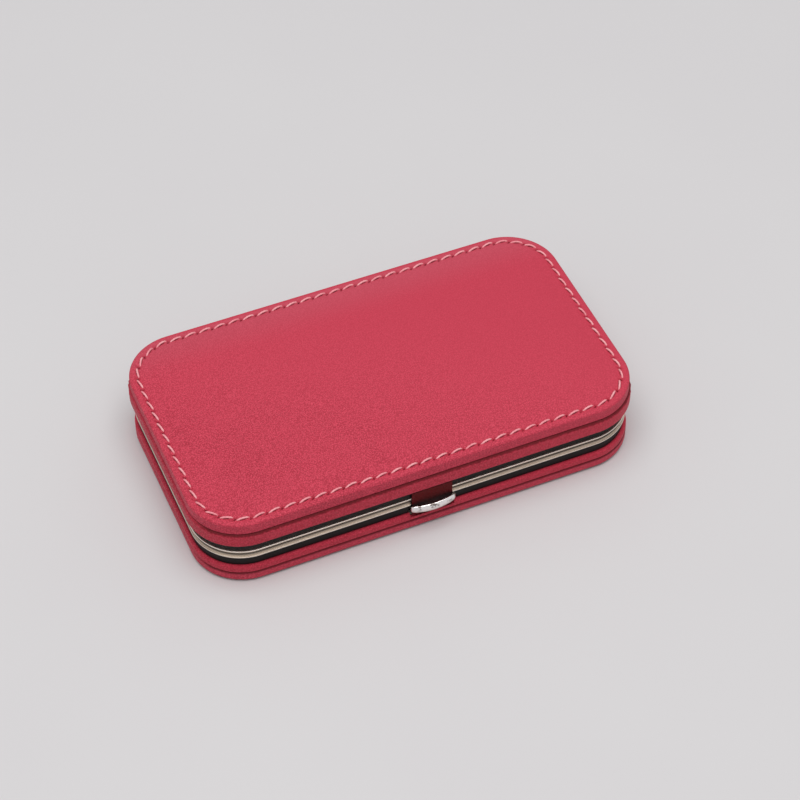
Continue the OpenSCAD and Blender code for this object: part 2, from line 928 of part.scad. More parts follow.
module tab_tongue() {
    edge = 0.3;
    end_r = 0.6;
    color(metal_col)
        difference() {
            translate([0, front_y + frame_in, 0])
                rotate([90, 0, 0])
                    linear_extrude(tongue_t)
                        tab_outline(tab_w / 2 - edge, end_r);
            translate([-window_half, front_y - cut, window_low_z])
                cube([2 * window_half, frame_in + 2 * cut, nose_h + window_gap]);
            tab_rivet_holes();
        }
}

module tab_rivets() {
    color(metal_col)
        tab_rivet_places()
            translate([0, front_y + frame_in - tongue_t, 0])
                rotate([-90, 0, 0])
                    cylinder(r = rivet_r, h = lining_in - frame_in + tongue_t);
}

module catch_tab() {
    end_r = 0.9;
    color(tab_col)
        translate([0, front_y + frame_in - tongue_t, 0])
            rotate([90, 0, 0])
                linear_extrude(tab_skin_t)
                    tab_outline(tab_w / 2, end_r);
}

bottom_cover();
bottom_padding();
bottom_board();
lower_wall();
lower_core();
lower_binding();
lower_frame();
lower_lining();
lower_tool_strap();
lower_hinge_leaf();
lower_hinge_rivets();
hinge_pin();
catch_bracket();
catch_bracket_rivets();
catch_pin();
catch_spring();
thumb_catch();
top_cover();
top_padding();
top_board();
upper_wall();
upper_core();
upper_binding();
upper_frame();
upper_lining();
upper_tool_strap();
upper_hinge_leaf();
upper_hinge_rivets();
tab_tongue();
tab_rivets();
catch_tab();
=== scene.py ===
# %% [markdown]
# # Hard manicure case in red leather
# The case is two leather-covered halves on thin metal frames, hinged along the back
# and held shut by a chrome thumb catch. This lesson dresses the exact model of the
# case, part by part. Everything is in metres, X to the right, the front towards -Y.

# %% Load the exact model
import math

import bmesh
import bpy
import numpy as np
from mathutils import Matrix, Vector


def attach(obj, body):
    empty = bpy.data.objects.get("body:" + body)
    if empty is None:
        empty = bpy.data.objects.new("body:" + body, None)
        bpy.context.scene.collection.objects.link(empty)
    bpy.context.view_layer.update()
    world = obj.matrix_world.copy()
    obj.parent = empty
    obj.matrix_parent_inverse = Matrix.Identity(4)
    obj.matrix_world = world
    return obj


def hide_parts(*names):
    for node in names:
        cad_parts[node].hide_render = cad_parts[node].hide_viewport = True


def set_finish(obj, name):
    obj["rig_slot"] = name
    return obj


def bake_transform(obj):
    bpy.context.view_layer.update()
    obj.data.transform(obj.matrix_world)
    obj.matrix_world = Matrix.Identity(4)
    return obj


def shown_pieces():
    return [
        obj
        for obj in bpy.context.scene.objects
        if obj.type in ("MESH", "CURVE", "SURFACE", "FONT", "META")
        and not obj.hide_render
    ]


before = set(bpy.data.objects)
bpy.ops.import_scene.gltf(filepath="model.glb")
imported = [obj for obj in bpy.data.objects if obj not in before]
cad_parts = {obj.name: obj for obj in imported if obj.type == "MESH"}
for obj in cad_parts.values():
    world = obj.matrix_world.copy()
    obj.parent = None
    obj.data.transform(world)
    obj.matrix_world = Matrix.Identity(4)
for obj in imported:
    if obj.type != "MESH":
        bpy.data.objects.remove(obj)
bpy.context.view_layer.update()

MM = 0.001
draw = np.random.default_rng(11)
print("nodes in the frame:", len(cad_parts))

# %% [markdown]
# ## Camera
# The picture was taken from the front and a little from the left, looking down at 47
# degrees with a long lens. A long lens keeps the two long sides nearly parallel. The
# camera's place was worked out from the outline of the case, so it is written down as
# three directions (right, up, back) and a point, in millimetres.

# %% Camera at the picture's viewpoint
camera_data = bpy.data.cameras.new("camera")
camera = bpy.data.objects.new("camera", camera_data)
bpy.context.scene.collection.objects.link(camera)
camera_data.sensor_width = 36
camera_data.lens = 110.08
right = Vector((0.9207, -0.3901, -0.0098)).normalized()
back = Vector((-0.2587, -0.6291, 0.7330)).normalized()
up = back.cross(right).normalized()
right = up.cross(back)
place = Vector((-146.41, -368.87, 437.90)) * MM
camera.matrix_world = Matrix.Translation(place) @ Matrix((right, up, back)).transposed().to_4x4()
bpy.context.scene.camera = camera
print("camera to case:", round(place.length, 3), "m")

# %% [markdown]
# ## Table and light
# A plain pale table and one big soft light above, a little to the front and to the
# left, make the shadow: narrow and dark in front of the case, wide and faint on its
# left. The world fills in the rest, so that a level surface shows its colour about as
# written. What the camera and the polished metal see of it is as pale as the table.

# %% Table, world and lamps
def node(tree, kind, values=(), **props):
    """New node with its properties; values sets or links inputs by name or number."""
    made = tree.nodes.new(kind)
    for key, value in props.items():
        setattr(made, key, value)
    for key, value in dict(values).items():
        if isinstance(value, bpy.types.NodeSocket):
            tree.links.new(value, made.inputs[key])
        else:
            made.inputs[key].default_value = value
    return made


def colour(red, green, blue):
    """Colour as seen on a screen, 0 to 255, turned into the light it stands for."""
    light = []
    for value in (red / 255, green / 255, blue / 255):
        light.append(value / 12.92 if value <= 0.04045 else ((value + 0.055) / 1.055) ** 2.4)
    return (*light, 1)


TABLE_TONE = colour(216, 213, 214)
world = bpy.data.worlds.new("studio")
bpy.context.scene.world = world
world.use_nodes = True
world.node_tree.nodes.clear()
rays = node(world.node_tree, "ShaderNodeLightPath")
seen = rays.outputs["Is Camera Ray"]
for kind in ("Is Glossy Ray", "Is Transmission Ray"):
    seen = node(world.node_tree, "ShaderNodeMath", {0: seen, 1: rays.outputs[kind]},
                operation="MAXIMUM").outputs[0]
fill = node(world.node_tree, "ShaderNodeBackground", {"Color": (0.97, 0.98, 1, 1), "Strength": 0.40})
backdrop = node(world.node_tree, "ShaderNodeBackground", {"Color": TABLE_TONE, "Strength": 1})
mixed = node(world.node_tree, "ShaderNodeMixShader", {0: seen,
             1: fill.outputs[0], 2: backdrop.outputs[0]})
node(world.node_tree, "ShaderNodeOutputWorld", {"Surface": mixed.outputs[0]})


def lamp(name, spot, size, power):
    """Square soft light that looks at the case."""
    data = bpy.data.lights.new(name, "AREA")
    data.size = size
    data.energy = power
    made = bpy.data.objects.new(name, data)
    bpy.context.scene.collection.objects.link(made)
    made.location = spot
    made.rotation_mode = "QUATERNION"
    made.rotation_quaternion = (-Vector(spot)).to_track_quat("-Z", "Y")


lamp("soft_light_above", (-0.1, -0.2, 1.35), 1.2, 14.1)
bpy.context.scene.view_settings.view_transform = "Standard"

# %% [markdown]
# ## Tools of this lesson
# Nearly every part of the case follows the same outline: a rectangle with round
# corners. So most meshes are made of stations round that outline, and rows that are
# drawn in from it. One function finds the stations, one places the rows, and one
# turns points and faces into a piece that rides on its half of the case.

# %% Outline of the case
LONG, DEEP, CORNER = 110.0, 63.5, 12.9
LEG_X, LEG_Y, QUARTER = LONG - 2 * CORNER, DEEP - 2 * CORNER, CORNER * math.pi / 2
ROUND = 2 * LEG_X + 2 * LEG_Y + 4 * QUARTER
CORE = 10.5
SPINE = (LONG - DEEP) / 2


def edge_at(s):
    """Points and outward directions at lengths s along the edge, counter-clockwise
    from the middle of the front."""
    s = np.mod(np.asarray(s, float), ROUND)
    point, out = np.zeros((len(s), 2)), np.zeros((len(s), 2))
    start = -LEG_X / 2
    for side, (leg, angle) in enumerate(((LEG_X, -90), (LEG_Y, 0), (LEG_X, 90), (LEG_Y, 180), (LEG_X, 270))):
        normal = np.array([math.cos(math.radians(angle)), math.sin(math.radians(angle))])
        along = np.array([-normal[1], normal[0]])
        middle = normal * (DEEP / 2 if side % 2 == 0 else LONG / 2)
        on = (s >= start) & (s < start + leg)
        point[on] = middle + along * (s[on, None] - start - leg / 2)
        out[on] = normal
        turn = (s >= start + leg) & (s < start + leg + QUARTER)
        a = math.radians(angle) + (s[turn] - start - leg) / CORNER
        centre = middle + along * leg / 2 - normal * CORNER
        out[turn] = np.stack([np.cos(a), np.sin(a)], 1)
        point[turn] = centre + CORNER * out[turn]
        start += leg + QUARTER
    return point, out


def placed(s, inset, height):
    """Points at an inset and a height for each station. Past CORE they close in
    on the middle line of the case."""
    point, out = edge_at(s)
    inset = np.broadcast_to(inset, len(point)).astype(float)
    ring = point - out * np.minimum(inset, CORE)[:, None]
    middle = np.stack([np.clip(point[:, 0], -SPINE, SPINE), 0 * inset], 1)
    share = np.clip((inset - CORE) / (DEEP / 2 - CORE), 0, 1)[:, None]
    flat = ring * (1 - share) + middle * share
    return np.column_stack([flat, np.broadcast_to(height, len(point))])


print("length round the case:", round(ROUND, 1), "mm")

# %% Turning points into pieces
def piece(name, points, faces, body, slot, crease=40, weld=0):
    """Mesh piece from points in millimetres, smooth but for edges sharper than crease.
    It rides on a body, unless body is None."""
    mesh = bpy.data.meshes.new(name)
    mesh.from_pydata((np.asarray(points) * MM).tolist(), [], faces)
    work = bmesh.new()
    work.from_mesh(mesh)
    if weld:
        bmesh.ops.remove_doubles(work, verts=work.verts, dist=weld * MM)
        bmesh.ops.dissolve_degenerate(work, edges=work.edges, dist=weld * MM / 2)
    bmesh.ops.recalc_face_normals(work, faces=work.faces)
    work.to_mesh(mesh)
    work.free()
    mesh.shade_smooth()
    mesh.set_sharp_from_angle(angle=math.radians(crease))
    made = bpy.data.objects.new(name, mesh)
    bpy.context.scene.collection.objects.link(made)
    if body:
        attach(made, body)
    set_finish(made, slot)
    return made


def grid_faces(rows, columns, rows_closed, columns_closed, first=0):
    """Four-sided faces of a grid of points, row by row."""
    faces = []
    for r in range(rows if rows_closed else rows - 1):
        for c in range(columns if columns_closed else columns - 1):
            r2, c2 = (r + 1) % rows, (c + 1) % columns
            faces.append([first + r * columns + c, first + r * columns + c2,
                          first + r2 * columns + c2, first + r2 * columns + c])
    return faces


def swept(name, s, rows, body, slot, whole=True, **how):
    """Section of rows (inset, height) swept along the stations s; whole goes all round."""
    points = np.concatenate([placed(s, inset, height) for inset, height in rows])
    faces = grid_faces(len(rows), len(s), True, whole)
    if not whole:
        faces += [[r * len(s) for r in range(len(rows))],
                  [r * len(s) + len(s) - 1 for r in range(len(rows))][::-1]]
    return piece(name, points, faces, body, slot, **how)


def arc(inset, height, radius, start, end, steps=6, tall=None):
    """Rows round a bend: angle 180 is the outer side, 90 the upper and 270 the lower."""
    tall = radius if tall is None else tall
    turns = np.radians(np.linspace(start, end, steps + 1))
    return [(inset + radius * math.cos(a), height + tall * math.sin(a)) for a in turns]


def upside_down(rows, top):
    """The same section for the other half, with heights counted down from top."""
    return [(inset, top - height) for inset, height in rows]


def ripple(s, sizes, amount):
    """Irregular waves round the case, the same in every run."""
    total = np.zeros(len(s))
    for size in sizes:
        turns = max(1, round(ROUND / size))
        total += np.sin(2 * math.pi * turns * s / ROUND + draw.uniform(0, 6.28)) * draw.uniform(0.5, 1)
    return amount * total / math.sqrt(len(sizes))


fine_s = np.linspace(0, ROUND, 1008, endpoint=False)
print("stations round the case:", len(fine_s))

# %% [markdown]
# ## Padded leather covers
# Each panel is a stiff board with thin foam and leather drawn over it and turned in
# behind. A row of 84 stitches holds the layers together 2 mm from the edge. The
# stitches pull a channel into the leather, deepest at the needle holes, and the
# leather swells a little on both sides. A fine grid of points with that relief
# worked out for each point gives it true shape, which a bump in the finish would not.

# %% Relief of the stitched leather
STITCHES = 84
STITCH_IN = 2.05
line_points, line_out = edge_at(np.linspace(0, ROUND, 20000, endpoint=False))
line_points = line_points - line_out * STITCH_IN
steps = np.linalg.norm(np.roll(line_points, -1, 0) - line_points, axis=1)
line_s = np.concatenate([[0], np.cumsum(steps)])
PITCH = line_s[-1] / STITCHES


def on_line(distance):
    """Station whose stitch lies at a distance along the line of stitches."""
    return np.interp(np.mod(distance, line_s[-1]), line_s, np.linspace(0, ROUND, 20001))


FIRST_HOLE = 0.35
hole_at = on_line((np.arange(STITCHES) + FIRST_HOLE) * PITCH)
hole_points, hole_out = edge_at(hole_at)
hole_points = hole_points - hole_out * STITCH_IN
hole_along = np.stack([-hole_out[:, 1], hole_out[:, 0]], 1)


def stitch_relief(xy, inset, depth, swell):
    """Depth of the channel and the needle holes, less the swelling beside them."""
    off = inset - STITCH_IN
    low = depth * np.exp(-(off / 0.42) ** 2)
    high = swell * (np.exp(-((off - 1.35) / 0.6) ** 2) + 0.7 * np.exp(-((off + 1.1) / 0.5) ** 2))
    near = np.abs(off) < 1.6
    gap = xy[near][:, None] - hole_points[None]
    closest = np.argmin((gap ** 2).sum(2), 1)
    gap = gap[np.arange(len(gap)), closest]
    along = (gap * hole_along[closest]).sum(1)
    across = (gap * hole_out[closest]).sum(1)
    slant = along + 0.55 * across
    pull = 0.08 * np.exp(-(slant / 0.8) ** 2 - (across / 0.85) ** 2)
    hole = 0.62 * np.exp(-(slant / 0.3) ** 2 - (across / 0.5) ** 2)
    drop = np.zeros(len(xy))
    drop[near] = pull + hole
    return high - low - drop


print("stitch pitch:", round(PITCH, 2), "mm")

# %% Leather covers of the two panels
PANEL, SKIN, TURNED = 3.1, 0.8, 0.5
TURN_W = 6.0


def crown_at(inset, crown):
    """Height of the padded middle over the edge."""
    share = np.clip((CORE - inset) / 8, 0, 1)
    return crown * np.cos(share * math.pi / 2)


def cover(name, crown, body, lay, depth, swell, wave, seam_rim, rim, node_name):
    """Leather of one panel as a closed skin: inner side, turned-in edge, outer side.
    The rim towards the wall is rounded by seam_rim, the outer one by rim."""
    inner = [(u, PANEL - SKIN) for u in (DEEP / 2, 22, 15, CORE, 8, 6, 4, 2.5)]
    inner += [(SKIN, PANEL - SKIN), (SKIN, TURNED), (TURN_W, TURNED)]
    outer = [(TURN_W, 0), (3.0, 0)] + arc(seam_rim, seam_rim, seam_rim, 270, 180, 8)
    outer += [(0, z) for z in (1.0, 1.5)] + arc(rim, PANEL - rim, rim, 180, 90, 12)
    outer += [(u, PANEL) for u in np.arange(rim + 0.12, 4.6, 0.13)]
    outer += [(u, PANEL) for u in (5.0, 5.6, 6.4, 7.4, 8.5, 9.6, CORE, 12.5, 15, 18, 22, 27, DEEP / 2)]
    rows = inner + outer
    out = edge_at(fine_s)[1]
    points = []
    for number, (inset, height) in enumerate(rows):
        ring = placed(fine_s, inset, height)
        if inset > STITCH_IN and height > PANEL / 2:
            ring[:, 2] += crown_at(inset, crown)
        if number >= len(inner) and height > PANEL - 0.4:
            ring[:, 2] += stitch_relief(ring[:, :2], np.full(len(ring), inset), depth, swell)
            if inset > 3:
                x, y = ring[:, 0], ring[:, 1]
                ring[:, 2] += wave * min(1, (inset - 3) / 3) * (
                    np.sin(x / 9.1 + 1) * np.sin(y / 6.3) + 0.6 * np.sin(x / 4.7 + y / 5.3))
        if number >= len(inner) and 0 < height < PANEL - 0.3:
            ring[:, :2] -= out * np.clip(rim_wave * (1 - abs(height - 1.5)), -1, 1)[:, None]
        points.append(ring)
    points = np.concatenate(points)
    points[:, 2] = lay(points[:, 2])
    faces = grid_faces(len(rows), len(fine_s), False, True)
    made = piece(name, points, faces, body, "panel_leather", crease=60, weld=0.004)
    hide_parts(node_name)
    return made


rim_wave = ripple(fine_s, (31, 17, 9.5, 6.1), 0.02) + 0.03
TOP = 19.75
CROWN = 0.47
top_leather = cover("top_leather", CROWN, "upper_half", lambda z: TOP - PANEL + z,
                    0.06, 0.05, 0.012, 0.25, 0.6, "top_cover")
cover("bottom_leather", 0, "lower_half", lambda z: PANEL - z, 0.16, 0, 0, 0.6, 1.1, "bottom_cover")
print("points in the top leather:", len(top_leather.data.vertices))

# %% [markdown]
# ## Stitches
# The thread is a three-ply twist of about half a millimetre. An awl with a flat blade
# makes slanted slits, so each stitch leaves the outer end of one slit and goes into
# the inner end of the next. Each is a short twisted rod that arches over the leather
# and dives into its holes. Below the case they are pressed flat into their channel.

# %% Thread of one row of stitches
END_GAP = 0.34
SLANT = 0.34


def stitch_row(name, body, base, rise, thick, flat, lay):
    """A row of twisted stitches: base is the leather's height at the line, and lay
    turns a height over the leather into a real height."""
    points, faces = [], []
    rings, sides = 22, 12
    for k in range(STITCHES):
        first = (k + FIRST_HOLE) * PITCH + END_GAP
        last = (k + 1 + FIRST_HOLE) * PITCH - END_GAP
        t = np.linspace(0, 1, rings)
        d = first + (last - first) * t
        edge, out = edge_at(on_line(d))
        side = SLANT * (1 - 2 * t) + 0.06 * math.sin(k * 2.4)
        way = edge - out * (STITCH_IN - side)[:, None]
        arch = np.sin(math.pi * t).clip(0) ** 0.55
        z = base + rise * arch * (1 + 0.12 * math.sin(k * 1.7)) - 0.42 * flat * (1 - arch)
        line = np.column_stack([way, z])
        along = np.gradient(line, axis=0)
        along /= np.linalg.norm(along, axis=1)[:, None]
        across = np.cross(along, [0, 0, 1.0])
        across /= np.linalg.norm(across, axis=1)[:, None]
        above = np.cross(across, along)
        start = len(points)
        for ring in range(rings):
            twist = 2.6 * math.pi * t[ring]
            taper = 0.72 + 0.28 * min(1, 6 * t[ring], 6 * (1 - t[ring]))
            for a in np.arange(sides) * 2 * math.pi / sides:
                r = thick * taper * (1 + 0.13 * math.cos(3 * (a - twist)))
                points.append(line[ring] + across[ring] * r * math.cos(a)
                              + above[ring] * r * math.sin(a) * flat)
        faces += grid_faces(rings, sides, False, True, start)
        faces += [[start + i for i in range(sides)][::-1],
                  [start + (rings - 1) * sides + i for i in range(sides)]]
    points = np.array(points)
    points[:, 2] = lay(points[:, 2])
    piece(name, points, faces, body, "thread", crease=80)
    return points[:, 2].min()


stitch_row("top_stitches", "upper_half", TOP - 0.03, 0.24, 0.225, 1, lambda z: z)
lowest = stitch_row("bottom_stitches", "lower_half", 0, 0.02, 0.2, 0.35, lambda z: 0.10 - z)
print("stitches:", 2 * STITCHES, "lowest thread:", round(lowest, 3), "mm")

# %% [markdown]
# ## Leather side walls
# A strip of the same leather covers the stiff side wall of each half. It is glued on
# and turned in at both edges, and the upper one swells past the panels. Where it
# meets the panel, it is gathered in fine upright creases. They are made by moving the
# points of the swept strip in and out by up to a fifth of a millimetre at the upper
# half, and much less at the lower one, most of all near the seam.

# %% Swept leather of the walls
SEAM, EDGE_IN = 0.6, 0.65
BAND_IN, LINING_IN = 0.95, 2.3
LOWER_WALL, UPPER_WALL = 1.9, 4.3
UP_PANEL = TOP - PANEL
gather_wave = ripple(fine_s, (2.9, 2.1, 1.63, 1.27, 0.97), 1)
gather_where = 0.5 + 0.5 * np.clip(ripple(fine_s, (43, 27, 16), 0.8), -1, 1)


def stations(cuts=()):
    """Stations round the case, with a close pair at each cut."""
    cuts = np.mod(np.array(cuts, float), ROUND)
    return np.unique(np.concatenate([fine_s, cuts - 0.01, cuts + 0.01]))


def front(s, half):
    """True at the stations within half of the middle of the front."""
    return (s < half) | (s > ROUND - half)


def notched(s, rows, half, limit):
    """Rows whose heights stop at a limit in the middle of the front."""
    return [(inset, np.where(front(s, half), np.minimum(height, limit), height))
            for inset, height in rows]


def wall_rows(s, tall, face, bends, gather):
    """Section of a wall from its seam with the panel, at height 0, to its frame side.
    Its face lies at an inset, and bends are the heights of the two roundings."""
    low, high = bends
    rows = arc(SEAM, low, SEAM - face - 0.03, 270, 180, 10, tall=low)
    rows += [(face + 0.03, z) for z in np.linspace(low, tall - high, 9)[1:-1]]
    rows += arc(EDGE_IN, tall - high, EDGE_IN - face - 0.03, 180, 90, 12, tall=high)
    wave = np.interp(s, fine_s, gather_wave * gather_where, period=ROUND)
    shaped = []
    for inset, height in rows:
        strength = gather * (math.exp(-(height / 1.3) ** 2) + 0.12) * min(1, height / 0.4)
        shaped.append((inset + strength * np.clip(wave, -1, 1.6), height))
    return shaped + [(BAND_IN, tall), (BAND_IN, tall - TURNED), (face + SKIN, tall - TURNED),
                     (face + SKIN, TURNED), (LINING_IN, TURNED), (LINING_IN, 0)]


upper_wall = swept("upper_wall_leather", fine_s,
                   upside_down(wall_rows(fine_s, UPPER_WALL, -0.5, (0.9, 1.0), 0.13), UP_PANEL),
                   "upper_half", "wall_leather", crease=50)
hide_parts("upper_wall")
TAB_ROOM = 5.5
s = stations([-TAB_ROOM, TAB_ROOM])
rows = [(inset, PANEL + height) for inset, height in wall_rows(s, LOWER_WALL, 0.0, (0.15, 0.7), 0.03)]
lower_wall = swept("lower_wall_leather", s, notched(s, rows, TAB_ROOM, 4.05),
                   "lower_half", "wall_leather", crease=50, weld=0.004)
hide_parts("lower_wall")
print("wall heights:", UPPER_WALL, LOWER_WALL, "mm")

# %% [markdown]
# ## Black bindings
# A strip of black leatherette covers the joint between the wall and the metal frame.
# Its upper part is caught inside the folded frame. It is a plain sweep with a barely
# rounded face. The lower one leaves a gap at the front for the catch.

# %% Bindings of both halves
STEM_IN, LEG_IN, POCKET_IN = 1.65, 1.2, 1.35
NOTCH, SLOT = 6.45, 5.7
LOW_BAND, LOW_FRAME, MOUTH_LOW = 5.0, 7.7, 8.65
UP_WALL, UP_BAND, MOUTH_UP = 12.35, 10.0, 8.9
PARTING = (MOUTH_LOW + MOUTH_UP) / 2


def binding_rows(start, end, stop, stem):
    """Section of a binding from under the wall's edge into the frame. Its inner face
    lies at the inset stem."""
    face = np.linspace(start, end, 9)
    swell = 0.05 * np.sin(np.linspace(0, math.pi, 9)) ** 0.5
    rows = [(BAND_IN + 0.03 - out, height) for out, height in zip(swell, face)]
    return rows + [(LEG_IN, end), (LEG_IN, stop), (stem, stop), (stem, start)]


open_s = np.unique(np.clip(stations([-NOTCH, NOTCH]), SLOT, ROUND - SLOT))
thinned = np.where(front(open_s, NOTCH), POCKET_IN, STEM_IN)
low_binding = swept("lower_black_binding", open_s, binding_rows(4.5, LOW_FRAME, 8.25, thinned),
                    "lower_half", "black_binding", whole=False)
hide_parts("lower_binding")
up_binding = swept("upper_black_binding", fine_s, binding_rows(12.85, UP_BAND, 9.3, STEM_IN),
                   "upper_half", "black_binding")
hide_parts("upper_binding")
print("binding shows", round(LOW_FRAME - LOW_BAND, 2), "and", round(UP_WALL - UP_BAND, 2), "mm")

# %% [markdown]
# ## Metal frames
# Each frame is a channel of thin sheet, folded over the stiff stem, with a small
# flange that stands out over the black binding. Sheet metal has no sharp edges: the
# flange ends in a full round and the folds have a radius, and these catch the bright
# lines that make metal look like metal. The flanges stop at the hinge and at the tab.

# %% Frames of both halves
FLANGE_IN, FRAME_IN, SHEET = 0.43, 0.8, 0.4
FLANGE, BEND = 0.35, 0.3
HINGE_LONG = 56.0
hinge_room = HINGE_LONG / 2 + 0.3


def frame_rows(start, mouth, flangeless, legless):
    """Section of a frame from its flange, at height start, to its mouth. The flange and
    the inner leg are left out at the stations marked in flangeless and legless."""
    way = 1 if mouth > start else -1
    round_edge = FLANGE / 2
    rows = [(FRAME_IN - 0.08, start)]
    rows += [(FLANGE_IN + round_edge + a, start + way * (round_edge + b))
             for a, b in arc(0, 0, round_edge, 270, 90, 10)]
    rows += [(FRAME_IN - 0.08, start + way * FLANGE), (FRAME_IN, start + way * (FLANGE + 0.08))]
    rows = [(np.where(flangeless, FRAME_IN, inset), height) for inset, height in rows]
    rows += [(FRAME_IN + 0.015, (start + way * FLANGE + mouth - way * BEND) / 2)]
    folds = arc(FRAME_IN + BEND, 0, BEND, 180, 90, 7) + arc(LINING_IN + SHEET - BEND, 0, BEND, 90, 0, 7)
    rows += [(inset, mouth - way * (BEND - height)) for inset, height in folds]
    leg = np.where(legless, SHEET, 1.2)
    rows += [(LINING_IN + SHEET, mouth - way * np.maximum(leg - 0.12, SHEET)),
             (LINING_IN + 0.32, mouth - way * leg), (LINING_IN, mouth - way * leg),
             (LINING_IN, mouth - way * SHEET), (LEG_IN, mouth - way * SHEET), (LEG_IN, start)]
    return rows


def back_of_case(s, half):
    """True at the stations within half of the middle of the back."""
    return np.abs(s - ROUND / 2) < half


s = stations([ROUND / 2 - hinge_room, ROUND / 2 + hinge_room, -5.2, 5.2, -NOTCH, NOTCH])
flangeless = back_of_case(s, hinge_room) | front(s, 5.2)
upper_frame = swept("upper_metal_frame", s,
                    frame_rows(UP_BAND, MOUTH_UP, flangeless, front(s, -1)),
                    "upper_half", "frame_metal", crease=35, weld=0.003)
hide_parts("upper_frame")
lower_frame = swept("lower_metal_frame", s,
                    frame_rows(LOW_FRAME, MOUTH_LOW, flangeless, front(s, NOTCH)),
                    "lower_half", "frame_metal", crease=35, weld=0.003)
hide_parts("lower_frame")
print("frames:", round(MOUTH_LOW - LOW_FRAME, 2), "and", round(UP_BAND - MOUTH_UP, 2), "mm high")

# %% [markdown]
# ## Linings
# Thin boards covered in short black pile line the floor and the walls of both halves.
# The lining is one closed dish: under the floor, up behind the wall, over its soft
# rim and down through a cove to the floor, which is not quite flat.

# %% Lined dishes of both halves
CAVITY_IN, LINING, COVE = 2.9, 0.6, 1.2


def dish(name, tall, lay, body, notch_limit, node_name):
    """Lining of one half; lay turns a height over the panel into a real height."""
    s = stations([-NOTCH, NOTCH])
    rim = tall - 0.3
    rows = [(DEEP / 2, 0), (20, 0), (LINING_IN, 0)]
    rows += [(LINING_IN, z) for z in np.linspace(0, rim, 5)[1:-1]]
    rows += arc(LINING_IN + 0.3, rim, 0.3, 180, 0, 8)
    rows += [(CAVITY_IN, z) for z in np.linspace(rim, LINING + COVE, 6)[1:-1]]
    rows += arc(CAVITY_IN + COVE, LINING + COVE, COVE, 180, 270, 8)
    rows += [(u, LINING) for u in (6, 8, CORE, 13, 16, 19, 22, 25, 28, DEEP / 2)]
    points = []
    for inset, height in rows:
        if notch_limit:
            height = np.where(front(s, NOTCH), np.minimum(height, notch_limit), height)
        ring = placed(s, inset, height)
        if inset > CAVITY_IN + COVE:
            x, y = ring[:, 0], ring[:, 1]
            ring[:, 2] -= 0.04 * (1 - np.cos(x / 3.7)) * (1 - np.cos(y / 4.9)) / 4 * (height > 0)
        points.append(ring)
    points = np.concatenate(points)
    points[:, 2] = lay(points[:, 2])
    made = piece(name, points, grid_faces(len(rows), len(s), False, True), body, "black_lining",
                 weld=0.004)
    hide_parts(node_name)


dish("lower_pile_lining", 4.35, lambda z: PANEL + z, "lower_half", 1.8, "lower_lining")
dish("upper_pile_lining", 6.55, lambda z: UP_PANEL - z, "upper_half", 0, "upper_lining")
print("inside, between the linings:", LONG - 2 * CAVITY_IN, "x", DEEP - 2 * CAVITY_IN, "mm")

# %% [markdown]
# ## Elastic straps
# A strip of black elastic in each half is tacked down so that it stands in loops for
# the tools. Elastic has cords of rubber along its length, which show as ribs across
# its width. The strip follows its path and carries a ribbed section with round edges.

# %% Ribbed straps with their tacks
STRAP, STRAP_W, LOOP_H = 0.6, 9.0, 4.3


def strap_path(widths):
    """Middle line of the strap, from its left end, and the places of its tacks."""
    line, tacks = [(0.0, STRAP / 2)], []
    x = 0.0
    for width in widths:
        tacks.append(x + 2.0)
        x += 4.0
        left, right_side = x + STRAP / 2, x + width + 1.5 * STRAP
        foot, shoulder, top = 0.5, 1.3, LOOP_H + STRAP / 2
        for centre, radius, start, end in (
                ((left - foot, STRAP / 2 + foot), foot, -90, 0),
                ((left + shoulder, top - shoulder), shoulder, 180, 90),
                ((right_side - shoulder, top - shoulder), shoulder, 90, 0),
                ((right_side + foot, STRAP / 2 + foot), foot, 180, 270)):
            for a in np.radians(np.linspace(start, end, 8)):
                line.append((centre[0] + radius * math.cos(a), centre[1] + radius * math.sin(a)))
        x += width + 2 * STRAP
    tacks.append(x + 2.0)
    line.append((x + 4.0, STRAP / 2))
    line = np.array(line)
    length = np.concatenate([[0], np.cumsum(np.linalg.norm(np.diff(line, axis=0), axis=1))])
    even = np.linspace(0, length[-1], int(length[-1] / 0.45))
    smooth = np.column_stack([np.interp(even, length, line[:, i]) for i in (0, 1)])
    high = smooth[:, 1] > LOOP_H
    smooth[high, 1] += 0.12 * np.sin(smooth[high, 0] * 0.9)
    smooth[:, 0] -= (x + 4.0) / 2
    return smooth, np.array(tacks) - (x + 4.0) / 2


